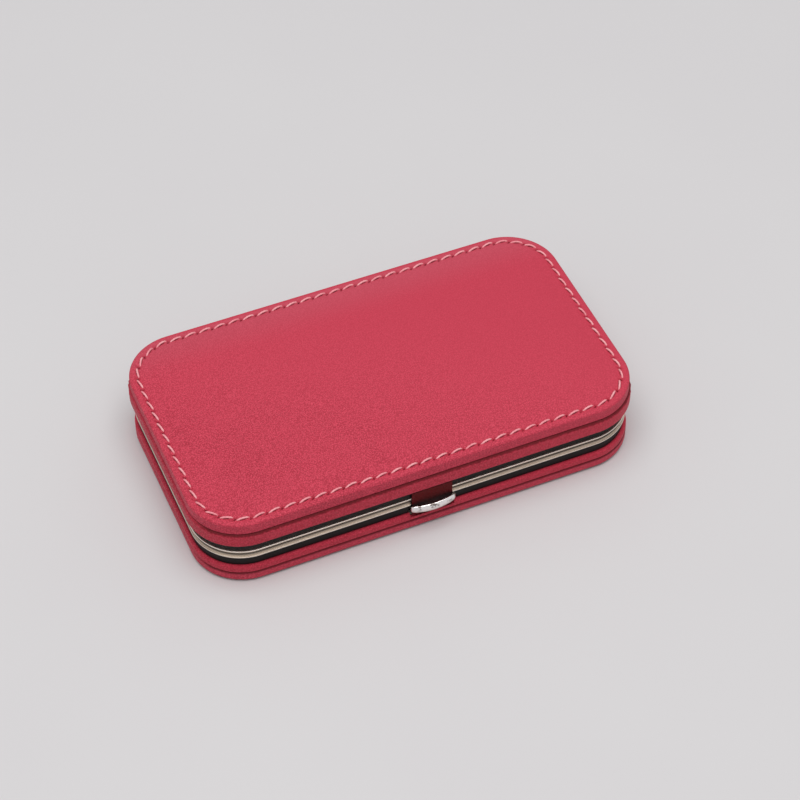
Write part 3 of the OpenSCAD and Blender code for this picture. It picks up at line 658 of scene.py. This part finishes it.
def strap(name, widths, y, base, way, body, node_name):
    """One strap with its row of tacks, on a floor at height base; way is 1 or -1."""
    line, tacks = strap_path(widths)
    along = np.gradient(line, axis=0)
    along /= np.linalg.norm(along, axis=1)[:, None]
    normal = np.column_stack([-along[:, 1], along[:, 0]])
    across = np.linspace(-1, 1, 61)
    rib = 0.045 * np.cos(across * math.pi * 12)
    round_edge = (1 - np.abs(across) ** 16) ** 0.5
    half = (STRAP / 2 - 0.05 + rib) * round_edge
    ring = list(zip(across, half)) + list(zip(across[-2:0:-1], -half[-2:0:-1]))
    points = [(px + nx * h, y + STRAP_W / 2 * a, base + way * (pz + nz * h))
              for (px, pz), (nx, nz) in zip(line, normal) for a, h in ring]
    faces = grid_faces(len(line), len(ring), False, True)
    faces += [list(range(len(ring))), list(range(len(points) - len(ring), len(points)))[::-1]]
    made = piece(name, points, faces, body, "elastic", crease=70)
    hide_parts(node_name)
    points, faces = [], []
    for x in tacks:
        for row in (-0.7, 0.7):
            for k in range(6):
                start = len(points)
                middle = y - STRAP_W / 2 + 0.9 + k * 1.44
                for t in np.linspace(0, 1, 9):
                    lift = STRAP + 0.13 * math.sin(math.pi * t) - 0.09
                    for a in np.arange(8) * math.pi / 4:
                        points.append((x + row + 0.11 * math.cos(a) + 0.1 * (t - 0.5),
                                       middle + 1.1 * (t - 0.5) + 0.5,
                                       base + way * (lift + 0.11 * math.sin(a))))
                faces += grid_faces(9, 8, False, True, start)
                faces += [[start + i for i in range(8)], [start + 64 + i for i in range(8)][::-1]]
    piece(name + "_tacks", points, faces, body, "elastic", crease=80)
    return made


lower_strap = strap("lower_elastic_strap", (8, 11, 16, 11, 8), 4, PANEL + LINING, 1,
                    "lower_half", "lower_tool_strap")
upper_strap = strap("upper_elastic_strap", (12, 18, 12), -6, UP_PANEL - LINING, -1,
                    "upper_half", "upper_tool_strap")
print("strap lengths:", [round(o.dimensions.x / MM, 1) for o in (lower_strap, upper_strap)], "mm")

# %% [markdown]
# ## Foam inside the panels
# A thin sheet of foam lies between each board and its leather. It can't be seen while
# the case is whole, but it is a piece of the case all the same.

# %% Foam sheets
FOAM = 0.4


def foam(name, crown, lay, body, node_name):
    top = PANEL - SKIN
    base = top - FOAM
    inner = (SKIN, 1.6, STITCH_IN, 2.5, 3.6, 4.6, 5.6, 6.6, 7.6, 8.6, 9.6, CORE, 15, 22, DEEP / 2)
    rows = [(u, base) for u in (DEEP / 2, 15, 2.5, SKIN)]
    rows += [(u, top + (crown_at(u, crown) if u > STITCH_IN else 0)) for u in inner]
    s = fine_s[::8]
    points = np.concatenate([placed(s, inset, height) for inset, height in rows])
    points[:, 2] = lay(points[:, 2])
    made = piece(name, points, grid_faces(len(rows), len(s), False, True), body, "foam", weld=0.004)
    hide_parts(node_name)


foam("top_foam", CROWN, lambda z: UP_PANEL + z, "upper_half", "top_padding")
foam("bottom_foam", 0, lambda z: PANEL - z, "lower_half", "bottom_padding")
print("foam is", FOAM, "mm thick at the edge")

# %% [markdown]
# ## Rivets
# Small rivets with domed heads hold the hinge leaves to the frames and the catch's
# bracket to the lower half. A head is a profile turned round the rivet's axis.

# %% Turned rivets
def rivets(name, places, shank, body, node_name):
    """Rivets whose heads sit at places and whose shanks run towards the front."""
    radius, head, tall = 0.45, 0.7, 0.34
    profile = [(0.0, shank), (radius - 0.08, shank), (radius, shank - 0.08), (radius, 0.0)]
    profile += [(head * math.cos(a), -tall * math.sin(a) ** 0.8)
                for a in np.radians(np.linspace(0, 90, 8))]
    points, faces = [], []
    for x, y, z in places:
        start = len(points)
        for r, deep in profile:
            for a in np.arange(20) * math.pi / 10:
                points.append((x + r * math.cos(a), y - deep, z + r * math.sin(a)))
        faces += grid_faces(len(profile), 20, False, True, start)
    made = piece(name, points, faces, body, "frame_metal", crease=50, weld=0.002)
    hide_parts(node_name)


AXIS_Z, LEAF_Y, LEAF_OFF = 8.775, 31.35, 2.2
leaf_x = [HINGE_LONG * ((i + 0.5) / 4 - 0.5) for i in range(4)]
for half, way in (("lower", -1), ("upper", 1)):
    rivets(half + "_leaf_rivets", [(x, LEAF_Y, AXIS_Z + way * LEAF_OFF) for x in leaf_x], 1.9,
           half + "_half", half + "_hinge_rivets")
bracket_x = (-7.3, 7.3)
rivets("bracket_rivets", [(x, -28.45, 5.9) for x in bracket_x], 1.65, "lower_half",
       "catch_bracket_rivets")
print("rivets:", 2 * len(leaf_x) + len(bracket_x))

# %% [markdown]
# ## Thumb catch
# The catch is one chrome piece: a curved lip for the thumb, two cheeks that run back
# to a pin, and a nose that holds the steel tongue of the tab. The lip and the cheeks
# are one bent bar, so one section runs along a U-shaped path seen from above, and
# grows slimmer towards the ends. The lip has shallow dents, which break up what it
# mirrors. The barrel and the nose are added to the same mesh.

# %% Bent bar, barrel and nose
FRONT_Y = -DEEP / 2
PIVOT_Y, PIVOT_Z, BARREL, BORE = -29.65, 7.35, 0.7, 0.43
LIP_Z, LIP_R, LIP_T, LIP_H, LIP_END = 7.45, 15.458, 0.85, 2.2, 4.75
CHEEK_X, CHEEK_T = 5.4, 0.4
lip_centre = FRONT_Y - 1.95 + LIP_R


def bar_path():
    """Middle line of the bar with its thickness and height, from right to left: round
    the pin, along the cheek, which is necked below the frame, and round the lip."""
    half = []
    for y in np.linspace(BARREL, 0, 8)[:-1]:
        tall = 2 * math.sqrt(max(BARREL ** 2 - y * y, 0.004))
        half.append((CHEEK_X, PIVOT_Y + y, PIVOT_Z, CHEEK_T, tall))
    forward, middles, heights = zip((29.65, 7.35, 1.4), (30.4, 7.09, 0.93), (31.45, 7.07, 0.97),
                                    (31.75, 7.2, 1.28), (32.05, 7.36, 1.7))
    for y in np.linspace(-forward[0], -forward[-1], 17):
        half.append((CHEEK_X, y, np.interp(-y, forward, middles), CHEEK_T,
                     np.interp(-y, forward, heights)))
    reach = LIP_R - LIP_T / 2
    end_y = lip_centre - math.sqrt(reach ** 2 - LIP_END ** 2)
    corner = (Vector((CHEEK_X, -forward[-1])), Vector((CHEEK_X + 0.04, end_y + 0.22)),
              Vector((LIP_END, end_y)))
    for t in np.linspace(0, 1, 10)[1:-1]:
        spot = corner[0] * (1 - t) ** 2 + corner[1] * 2 * t * (1 - t) + corner[2] * t * t
        half.append((spot.x, spot.y, 7.36 + 0.09 * t, CHEEK_T + (LIP_T - CHEEK_T) * t, 1.7 + 0.3 * t))
    widest = math.asin(LIP_END / reach)
    for a in np.linspace(widest, 0, 18):
        half.append((reach * math.sin(a), lip_centre - reach * math.cos(a), LIP_Z, LIP_T,
                     LIP_H - 0.2 * (a / widest) ** 2))
    other = [(-row[0], *row[1:]) for row in half[-2::-1]]
    return np.array(half + other)


bar = bar_path()
way = np.gradient(bar[:, :2], axis=0)
way /= np.linalg.norm(way, axis=1)[:, None]
aside = np.column_stack([-way[:, 1], way[:, 0]])
turns = np.arange(24) * math.pi / 12
square = 2.6
points = []
for (x, y, z, thick, tall), (ax, ay) in zip(bar, aside):
    for a in turns:
        dents = 0.022 * math.sin(3.1 * x + 2.2 * a) + 0.022 * math.sin(5.3 * x - 1.7 * a + 1)
        thick_here = thick - (0.045 + dents) * (y < -32.3)
        u = thick_here / 2 * math.copysign(abs(math.cos(a)) ** (2 / square), math.cos(a))
        v = tall / 2 * math.copysign(abs(math.sin(a)) ** (2 / square), math.sin(a))
        points.append((x + ax * u, y + ay * u, z + v))
faces = grid_faces(len(bar), 24, False, True)
faces += [list(range(24)), list(range(len(points) - 24, len(points)))[::-1]]

start = len(points)
barrel = [(-5.2, BORE), (-5.2, 0.64), (-5.14, BARREL), (5.14, BARREL), (5.2, 0.64), (5.2, BORE)]
for x, r in barrel:
    points += [(x, PIVOT_Y + r * math.cos(a), PIVOT_Z + r * math.sin(a)) for a in turns]
faces += grid_faces(len(barrel), 24, True, True, start)

start = len(points)
nose = [(FRONT_Y + inset, z) for inset, z in (
    (2.05, 7.35), (1.55, 7.35), (1.55, 6.4), (1.42, 6.22), (0.56, 5.73), (0.5, 5.67), (0.5, 5.5),
    (0.56, 5.46), (1.5, 5.08), (2.0, 5.05), (2.05, 5.1))]
for x in (-2.2, -2.14, 2.14, 2.2):
    shrink = 0.0 if abs(x) < 2.15 else 0.06
    points += [(x, y + (shrink if y < FRONT_Y + 1 else 0), z) for y, z in nose]
faces += grid_faces(4, len(nose), False, True, start)
faces += [[start + i for i in range(len(nose))],
          [start + 3 * len(nose) + i for i in range(len(nose))][::-1]]
catch = piece("chrome_thumb_catch", points, faces, "thumb_catch", "chrome", crease=35)
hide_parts("thumb_catch")
print("lip is", round(2 * bar[:, 0].max(), 1), "mm wide")

# %% [markdown]
# ## Leaf spring of the catch
# A strip of spring steel stands behind the catch, with its foot on the bracket, and
# holds the nose under the tongue. It bends when the lip is pressed: the foot stays with
# the lower half and the tip follows the catch. Here the piece rides on no half.

# %% Bent strip of spring steel
SPRING_T, SPRING_W = 0.17, 2.96
spring_line = np.array([(2.8, 5.02), (2.8, 5.25), (2.8, 5.5), (2.795, 5.62), (2.77, 5.7), (2.7, 5.78),
                        (2.56, 5.88), (2.42, 5.98), (2.29, 6.08), (2.23, 6.14), (2.225, 6.2),
                        (2.27, 6.28), (2.33, 6.36), (2.38, 6.43)])
along = np.gradient(spring_line, axis=0)
along /= np.linalg.norm(along, axis=1)[:, None]
outline = [(-1, -0.7), (-0.985, -1), (0.985, -1), (1, -0.7), (1, 0.7), (0.985, 1), (-0.985, 1),
           (-1, 0.7)]
points = [(SPRING_W / 2 * a, FRONT_Y + inset + dz * SPRING_T / 2 * b, z - dy * SPRING_T / 2 * b)
          for (inset, z), (dy, dz) in zip(spring_line, along) for a, b in outline]
faces = grid_faces(len(spring_line), len(outline), False, True)
faces += [list(range(8)), list(range(len(points) - 8, len(points)))[::-1]]
spring = piece("leaf_spring", points, faces, None, "spring_steel", crease=50)
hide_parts("catch_spring")
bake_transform(spring)
print("spring:", SPRING_W, "mm wide and", SPRING_T, "mm thick")

# %% [markdown]
# ## Leather tab
# The tab hangs from the upper half, in front of both frames, and hides the steel
# tongue. It is a small piece of leather with softly rounded, inked edges, and its dark
# red tone is painted shade of the recess it sits in. Its outline is drawn in ring by
# ring towards the front face, which swells a little.

# %% Tab
TAB_HALF, TAB_LOW, TAB_HIGH, TAB_R = 5.1, 4.3, 12.15, 0.9


def tab_ring(inset, y):
    """Outline of the tab, drawn in, at a depth y."""
    half, low, r = TAB_HALF - inset, TAB_LOW + inset, max(TAB_R - inset, 0.05)
    ring = [(half - r + r * math.sin(a), low + r - r * math.cos(a))
            for a in np.radians(np.linspace(0, 90, 9))]
    ring += [(half, z) for z in np.linspace(low + r, TAB_HIGH, 16)[1:]]
    ring += [(x, TAB_HIGH) for x in np.linspace(half, -half, 22)[1:-1]]
    ring += [(-x, z) for x, z in ring[8:24][::-1]]
    ring += [(-x, z) for x, z in ring[:8][::-1]]
    return [(x, y, z) for x, z in ring]


tab_back = FRONT_Y + FRAME_IN - 0.4
rings = [(0.1, tab_back), (0.02, tab_back - 0.04), (0, tab_back - 0.1), (0.02, tab_back - 0.17),
         (0.07, tab_back - 0.24), (0.18, tab_back - 0.28), (0.6, tab_back - 0.288),
         (1.4, tab_back - 0.294), (2.4, tab_back - 0.3), (3.4, tab_back - 0.3)]
points = sum((tab_ring(inset, y) for inset, y in rings), [])
count = len(points) // len(rings)
faces = grid_faces(len(rings), count, False, True)
faces += [list(range(count)), list(range(len(points) - count, len(points)))[::-1]]
tab = piece("leather_tab", points, faces, "upper_half", "tab_leather", crease=60)
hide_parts("catch_tab")
print("tab:", 2 * TAB_HALF, "x", round(TAB_HIGH - TAB_LOW, 1), "mm")

# %% [markdown]
# ## Finishes
# Each finish is mixed from noise and cell textures in the real scale of the material,
# in metres, so nothing is painted and nothing repeats. A small set of helpers keeps
# the recipes short.

# %% Helpers for finishes
def finish(name, **settings):
    """New finish with its shader; returns both with the place in the object."""
    made = bpy.data.materials.new(name)
    made.use_nodes = True
    tree = made.node_tree
    tree.nodes.clear()
    shader = node(tree, "ShaderNodeBsdfPrincipled")
    for key, value in settings.items():
        shader.inputs[key.replace("_", " ")].default_value = value
    node(tree, "ShaderNodeOutputMaterial", {"Surface": shader.outputs[0]})
    return made, tree, shader, node(tree, "ShaderNodeTexCoord").outputs["Object"]


def cloud(tree, at, size, detail=3, rough=0.5):
    """Noise whose lumps are about size millimetres."""
    return node(tree, "ShaderNodeTexNoise", {"Vector": at, "Scale": 1000 / size, "Detail": detail,
                "Roughness": rough}).outputs["Fac"]


def cells(tree, at, size, feature="DISTANCE_TO_EDGE"):
    """Cells about size millimetres apart."""
    return node(tree, "ShaderNodeTexVoronoi", {"Vector": at, "Scale": 1000 / size},
                feature=feature).outputs["Distance"]


def spread(tree, value, low, high, start=0, end=1):
    """Value stretched from low..high to start..end, held at both ends."""
    return node(tree, "ShaderNodeMapRange", {"Value": value, "From Min": low, "From Max": high,
                "To Min": start, "To Max": end}, interpolation_type="SMOOTHSTEP").outputs["Result"]


def combined(tree, a, b=0, operation="ADD"):
    """Two values added up, or put through another operation."""
    return node(tree, "ShaderNodeMath", {0: a, 1: b}, operation=operation).outputs[0]


def times(tree, a, b):
    return combined(tree, a, b, "MULTIPLY")


def blended(tree, share, one, other):
    """Colour between two others."""
    mix = node(tree, "ShaderNodeMix", {"Factor": share}, data_type="RGBA")
    for socket, value in ((6, one), (7, other)):
        if isinstance(value, bpy.types.NodeSocket):
            tree.links.new(value, mix.inputs[socket])
        else:
            mix.inputs[socket].default_value = value
    return mix.outputs[2]


def relief(tree, shader, height, depth):
    """Bump of a depth in millimetres."""
    bump = node(tree, "ShaderNodeBump", {"Height": height, "Distance": depth * MM})
    tree.links.new(bump.outputs[0], shader.inputs["Normal"])


def follow(tree, shader, value, low, high, one, other, rough):
    """Colour from one to other, and roughness, as a value goes from low to high."""
    tree.links.new(blended(tree, spread(tree, value, low, high), one, other),
                   shader.inputs["Base Color"])
    tree.links.new(spread(tree, value, low, high, *rough), shader.inputs["Roughness"])


def stretched(tree, at, x, y, z):
    """Place in the object, squeezed along each direction."""
    return node(tree, "ShaderNodeMapping", {"Vector": at, "Scale": (x, y, z)}).outputs[0]


# %% [markdown]
# ## Red leather
# The leather has a fine pebbled grain: cells about half a millimetre across with thin
# valleys between them, bent by a noise so that no cell is regular. The valleys are
# darker and duller. The grain is strong at the front left and fades towards the back
# right, where the hide is smoother. A painted sheen makes a strip along the back paler.
# Painted shade darkens the leather where it goes into a seam, in a band with small
# upright creases, and in hollows such as the needle holes, which an ambient occlusion
# node finds.

# %% Leather finishes
def leather(name, main, lighter, dark, painted_shade_colour, grain=0.4, rough=0.46, hollow_shade_range=(0.38, 0.78),
            reach=0.6, seam=None, creased=0.08, shine=0.22, painted_sheen=None):
    """seam holds two heights in millimetres: painted shade deepens the colour from the
    first to the second. Hollows get painted shade too, and are looked for within a reach
    in millimetres."""
    made, tree, shader, at = finish(name, Specular_IOR_Level=shine)
    bend = node(tree, "ShaderNodeTexNoise", {"Vector": at, "Scale": 1400, "Detail": 2})
    offset = node(tree, "ShaderNodeVectorMath", {0: bend.outputs["Color"], 1: (-0.5, -0.5, -0.5)})
    small = node(tree, "ShaderNodeVectorMath", {0: offset.outputs[0], "Scale": 0.45 * MM},
                 operation="SCALE")
    bent = node(tree, "ShaderNodeVectorMath", {0: at, 1: small.outputs[0]}).outputs[0]
    pebbles = spread(tree, cells(tree, bent, grain), 0.0, 0.32)
    specks = spread(tree, cloud(tree, bent, 0.36, 1, 0.6), 0.36, 0.64)
    fine = cloud(tree, bent, 0.16, 2, 0.6)
    toward = node(tree, "ShaderNodeVectorMath", {0: at, 1: (-0.6, -1, 0)}, operation="DOT_PRODUCT")
    coarse = times(tree, spread(tree, cloud(tree, at, 9, 3), 0.35, 0.65, 0.86, 1),
                   spread(tree, toward.outputs["Value"], -0.03, 0.035, 0.35, 1.1))
    grain_height = combined(tree, times(tree, pebbles, coarse), times(tree, fine, 0.5))
    base = blended(tree, coarse, main, lighter)
    where = node(tree, "ShaderNodeSeparateXYZ", {0: at}).outputs
    # Painted sheen: the leather is painted paler in a strip along the back.
    if painted_sheen:
        sheen_strip = times(tree, spread(tree, where["Y"], 0.018, 0.0295, 0, 0.45),
                        spread(tree, where["Y"], 0.0305, 0.0312, 1, 0))
        base = blended(tree, sheen_strip, base, painted_sheen)
    valley = spread(tree, combined(tree, pebbles, specks), 0.3, 1.7, 0.65, 0)
    base = blended(tree, times(tree, valley, coarse), base, dark)
    # Painted shade: a band below the seam is darkened towards the shade colour, and faded at the left end.
    if seam:
        seam_shade_weight = spread(tree, where["X"], -0.0552, -0.0525, 0.15, 0.85)
        creases = spread(tree, cloud(tree, stretched(tree, at, 1, 1, 0.3), 0.55, 1), 0.3, 0.7,
                         -creased * MM, creased * MM)
        seam_shade_band = spread(tree, combined(tree, where["Z"], creases), seam[0] * MM, seam[1] * MM)
        past = combined(tree, where["Z"], (seam[1] + 0.4) * MM, "LESS_THAN")
        base = blended(tree, times(tree, times(tree, seam_shade_band, seam_shade_weight), past), base, painted_shade_colour)
    # Painted shade: hollows found by the ambient occlusion node are darkened towards the shade colour.
    hollow_shade = node(tree, "ShaderNodeAmbientOcclusion", {"Distance": reach * MM}, samples=6).outputs["AO"]
    tree.links.new(blended(tree, spread(tree, hollow_shade, *hollow_shade_range, 0.95, 0), base, painted_shade_colour),
                   shader.inputs["Base Color"])
    tree.links.new(spread(tree, grain_height, 0.2, 1.3, rough + 0.14, rough - 0.06),
                   shader.inputs["Roughness"])
    relief(tree, shader, grain_height, 0.05)
    return made


# Colour of the painted shade in seams and hollows.
PAINTED_SHADE_TONE = colour(84, 2, 8)
# The panel leather gets the painted sheen along the back.
panel_leather = leather("red_panel_leather", colour(193, 57, 77), colour(223, 75, 97),
                        colour(148, 24, 42), PAINTED_SHADE_TONE, seam=(2.15, 2.85), creased=0.04,
                        painted_sheen=colour(201, 92, 108))
wall_leather = leather("red_wall_leather", colour(201, 50, 70), colour(211, 61, 83),
                       colour(150, 22, 38), PAINTED_SHADE_TONE, seam=(UP_PANEL - 0.85, UP_PANEL - 0.3))
# Painted shade: the tab's dark tone and its deep hollows, reaching 2.6 mm, stand for the shade of its recess
# and of the lip.
tab_leather = leather("tab_leather_painted_shade", colour(101, 4, 8), colour(107, 6, 10), colour(70, 8, 10),
                      colour(24, 3, 4), grain=0.35, rough=0.5, hollow_shade_range=(0.45, 0.98), reach=2.6,
                      shine=0.15)
print("leather finishes ready")

# %% [markdown]
# ## Black leatherette, pile and elastic
# The binding is smooth black leatherette with a faint grain and a satin gloss. The
# pile of the lining is a fine, dull noise with some sheen, for light that catches the
# tips of the fibres. The elastic is knitted: short stitches along each rib.

# %% Black finishes
binding, tree, shader, at = finish("black_leatherette", Specular_IOR_Level=0.2)
tone = cloud(tree, at, 0.5, 3)
tree.links.new(blended(tree, tone, colour(12, 12, 12), colour(22, 21, 21)), shader.inputs["Base Color"])
tree.links.new(spread(tree, tone, 0.2, 0.8, 0.42, 0.56), shader.inputs["Roughness"])
relief(tree, shader, cells(tree, at, 0.3), 0.03)

pile, tree, shader, at = finish("black_pile", Sheen_Weight=0.35, Sheen_Roughness=0.5)
fibre = combined(tree, cloud(tree, at, 0.12, 3, 0.7), cloud(tree, at, 6, 3))
follow(tree, shader, fibre, 0.7, 1.3, colour(20, 19, 20), colour(46, 44, 46), (0.95, 0.82))
relief(tree, shader, fibre, 0.08)

elastic, tree, shader, at = finish("black_elastic", Sheen_Weight=0.15)
knit = node(tree, "ShaderNodeTexWave", {"Vector": at, "Scale": 1000 / 0.7 / 6.28 * 3.14,
            "Distortion": 1.2, "Detail": 1}, bands_direction="X").outputs["Fac"]
knit = combined(tree, knit, cloud(tree, stretched(tree, at, 1, 3, 1), 0.25, 2))
follow(tree, shader, knit, 0.4, 1.5, colour(16, 16, 17), colour(44, 43, 45), (0.85, 0.65))
relief(tree, shader, knit, 0.06)
print("black finishes ready")

# %% [markdown]
# ## Thread
# The thread is glossy pink polyester. Its twist is in the mesh, so the finish only
# adds hair-fine filaments along it and slight differences of tone between stitches.

# %% Thread finish
thread, tree, shader, at = finish("pink_thread", Sheen_Weight=0.2)
strand = cloud(tree, at, 0.07, 2, 0.6)
tone = combined(tree, cloud(tree, at, 2.3, 1), times(tree, strand, 0.5))
tree.links.new(blended(tree, spread(tree, tone, 0.5, 1.0), colour(240, 140, 150),
                       colour(253, 176, 180)), shader.inputs["Base Color"])
tree.links.new(spread(tree, strand, 0.3, 0.7, 0.42, 0.6), shader.inputs["Roughness"])
relief(tree, shader, strand, 0.03)

# %% [markdown]
# ## Metals
# The frames are nickel-plated steel with a warm tint, drawn along their length. Where
# the two halves meet, painted shade and dark reflection darken the upright faces
# between the flanges, most of all along the parting line, while the flanges keep the
# plain metal colour. The catch is polished chrome with a few painted dark reflections
# up high and a painted warm reflection along its lower edge. The spring and the tongue
# are plain steel with a brushed face.

# %% Metal finishes
def metal(name, bright, dull, rough, lines, deep=0):
    """Metal drawn along lines; returns what finish does."""
    made, tree, shader, at = finish(name, Metallic=1.0)
    drawn = cloud(tree, stretched(tree, at, *lines), 1, 2, 0.5)
    smudged = combined(tree, drawn, cloud(tree, at, 3.5, 3, 0.5))
    follow(tree, shader, smudged, 0.7, 1.3, dull, bright, rough)
    if deep:
        relief(tree, shader, drawn, deep)
    return made, tree, shader, at


def over_base(tree, shader, share, other):
    """Another colour laid over the base colour, as strong as share."""
    base = shader.inputs["Base Color"]
    tree.links.new(blended(tree, share, base.links[0].from_socket, other), base)


frame_metal = metal("warm_nickel", colour(214, 203, 190), colour(204, 193, 178), (0.24, 0.34),
                    (0.15, 0.15, 1.2))[0]
steel = metal("spring_steel", colour(176, 176, 176), colour(150, 150, 152), (0.24, 0.4),
              (10, 1, 1), 0.003)[0]

folded_metal, tree, shader, at = metal("folded_nickel", colour(228, 219, 209), colour(218, 208, 197),
                                       (0.3, 0.38), (0.15, 0.15, 1.2))
# Painted shade and reflection: upright faces near the parting line are darkened, darkest right at it.
facing = node(tree, "ShaderNodeTexCoord").outputs["Normal"]
level = node(tree, "ShaderNodeSeparateXYZ", {0: facing}).outputs["Z"]
upright = spread(tree, combined(tree, level, operation="ABSOLUTE"), 0.96, 1, 1, 0.1)
height = node(tree, "ShaderNodeSeparateXYZ", {0: at}).outputs["Z"]
away = combined(tree, combined(tree, height, -PARTING * MM), operation="ABSOLUTE")
painted_shade_between_flanges = times(tree, spread(tree, away, 0.72 * MM, 0.86 * MM, 0.9, 0), upright)
parting_shadow = spread(tree, away, 0.12 * MM, 0.5 * MM, 1, 0)
over_base(tree, shader, painted_shade_between_flanges, blended(tree, parting_shadow, colour(190, 175, 158), colour(54, 44, 35)))

chrome, tree, shader, at = metal("polished_chrome", colour(250, 249, 247), colour(236, 234, 232),
                                 (0.08, 0.16), (2, 2, 2), 0.0015)
height = node(tree, "ShaderNodeSeparateXYZ", {0: at}).outputs["Z"]
# Painted reflection: the lower edge of the catch is painted warmer and darker.
over_base(tree, shader, spread(tree, height, 6.5 * MM, 7.6 * MM, 0.5, 0), colour(200, 168, 156))
# Painted reflection: dark patches on the upper part of the catch.
painted_dark_reflections = times(tree, spread(tree, cloud(tree, at, 1.1, 1, 0.4), 0.56, 0.62),
               spread(tree, height, 7.2 * MM, 7.9 * MM, 0.25, 0.85))
over_base(tree, shader, painted_dark_reflections, colour(112, 98, 92))
print("metal finishes ready")

# %% [markdown]
# ## Board and foam
# The boards are grey paperboard, pressed from mixed fibres, and the foam is a pale
# sheet with small bubbles. Both are hidden inside the case.

# %% Board and foam finishes
board, tree, shader, at = finish("grey_board")
fibres = combined(tree, cloud(tree, stretched(tree, at, 1, 4, 4), 0.6, 4, 0.7), cloud(tree, at, 5, 3))
follow(tree, shader, fibres, 0.7, 1.3, colour(146, 138, 122), colour(178, 170, 152), (0.95, 0.8))
relief(tree, shader, fibres, 0.05)

foam_finish, tree, shader, at = finish("pale_foam")
bubbles = cells(tree, at, 0.35, "F1")
follow(tree, shader, bubbles, 0.1, 0.6, colour(196, 190, 170), colour(232, 228, 212), (0.95, 0.8))
relief(tree, shader, bubbles, 0.1)
print("board and foam finishes ready")

# %% [markdown]
# ## Dressing the pieces
# Each piece made here gets the finish of its slot in the record. Only the two folded
# frames have a finish of their own. The parts that keep their exact shape are hidden
# while the case is shut, and a second table lists their finishes.

# %% Finishes of all pieces
FINISHES = {"panel_leather": panel_leather, "wall_leather": wall_leather, "tab_leather": tab_leather,
            "thread": thread, "black_binding": binding, "black_lining": pile, "elastic": elastic,
            "frame_metal": frame_metal, "chrome": chrome, "spring_steel": steel, "board": board,
            "foam": foam_finish}
KEPT = {"bottom_board": board, "top_board": board, "lower_core": board, "upper_core": board,
        "lower_hinge_leaf": frame_metal, "upper_hinge_leaf": frame_metal, "hinge_pin": frame_metal,
        "catch_bracket": frame_metal, "catch_pin": steel, "tab_tongue": steel, "tab_rivets": steel}
for name, material in KEPT.items():
    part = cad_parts[name]
    if not part.material_slots:
        part.data.materials.append(material)
    for slot in part.material_slots:
        slot.material = material
dressed = 0
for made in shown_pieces():
    if made.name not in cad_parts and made.type == "MESH":
        folded = made in (upper_frame, lower_frame)
        made.data.materials.append(folded_metal if folded else FINISHES[made["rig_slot"]])
        dressed += 1
print("pieces dressed:", dressed, "and exact parts:", len(KEPT))

# %% [markdown]
# ## Table
# The case stands on a pale matt table, one large sheet with a barely visible
# unevenness of tone.

# %% Table top
table_mesh = bpy.data.meshes.new("table")
work = bmesh.new()
bmesh.ops.create_grid(work, x_segments=8, y_segments=8, size=3)
work.to_mesh(table_mesh)
work.free()
table = bpy.data.objects.new("table", table_mesh)
bpy.context.scene.collection.objects.link(table)
table.location.z = -0.0002
table_finish, tree, shader, at = finish("table_finish", Roughness=0.85, Specular_IOR_Level=0.2)
uneven = cloud(tree, at, 90, 3)
tree.links.new(blended(tree, uneven, colour(214, 211, 212), colour(218, 216, 216)),
               shader.inputs["Base Color"])
table_mesh.materials.append(table_finish)
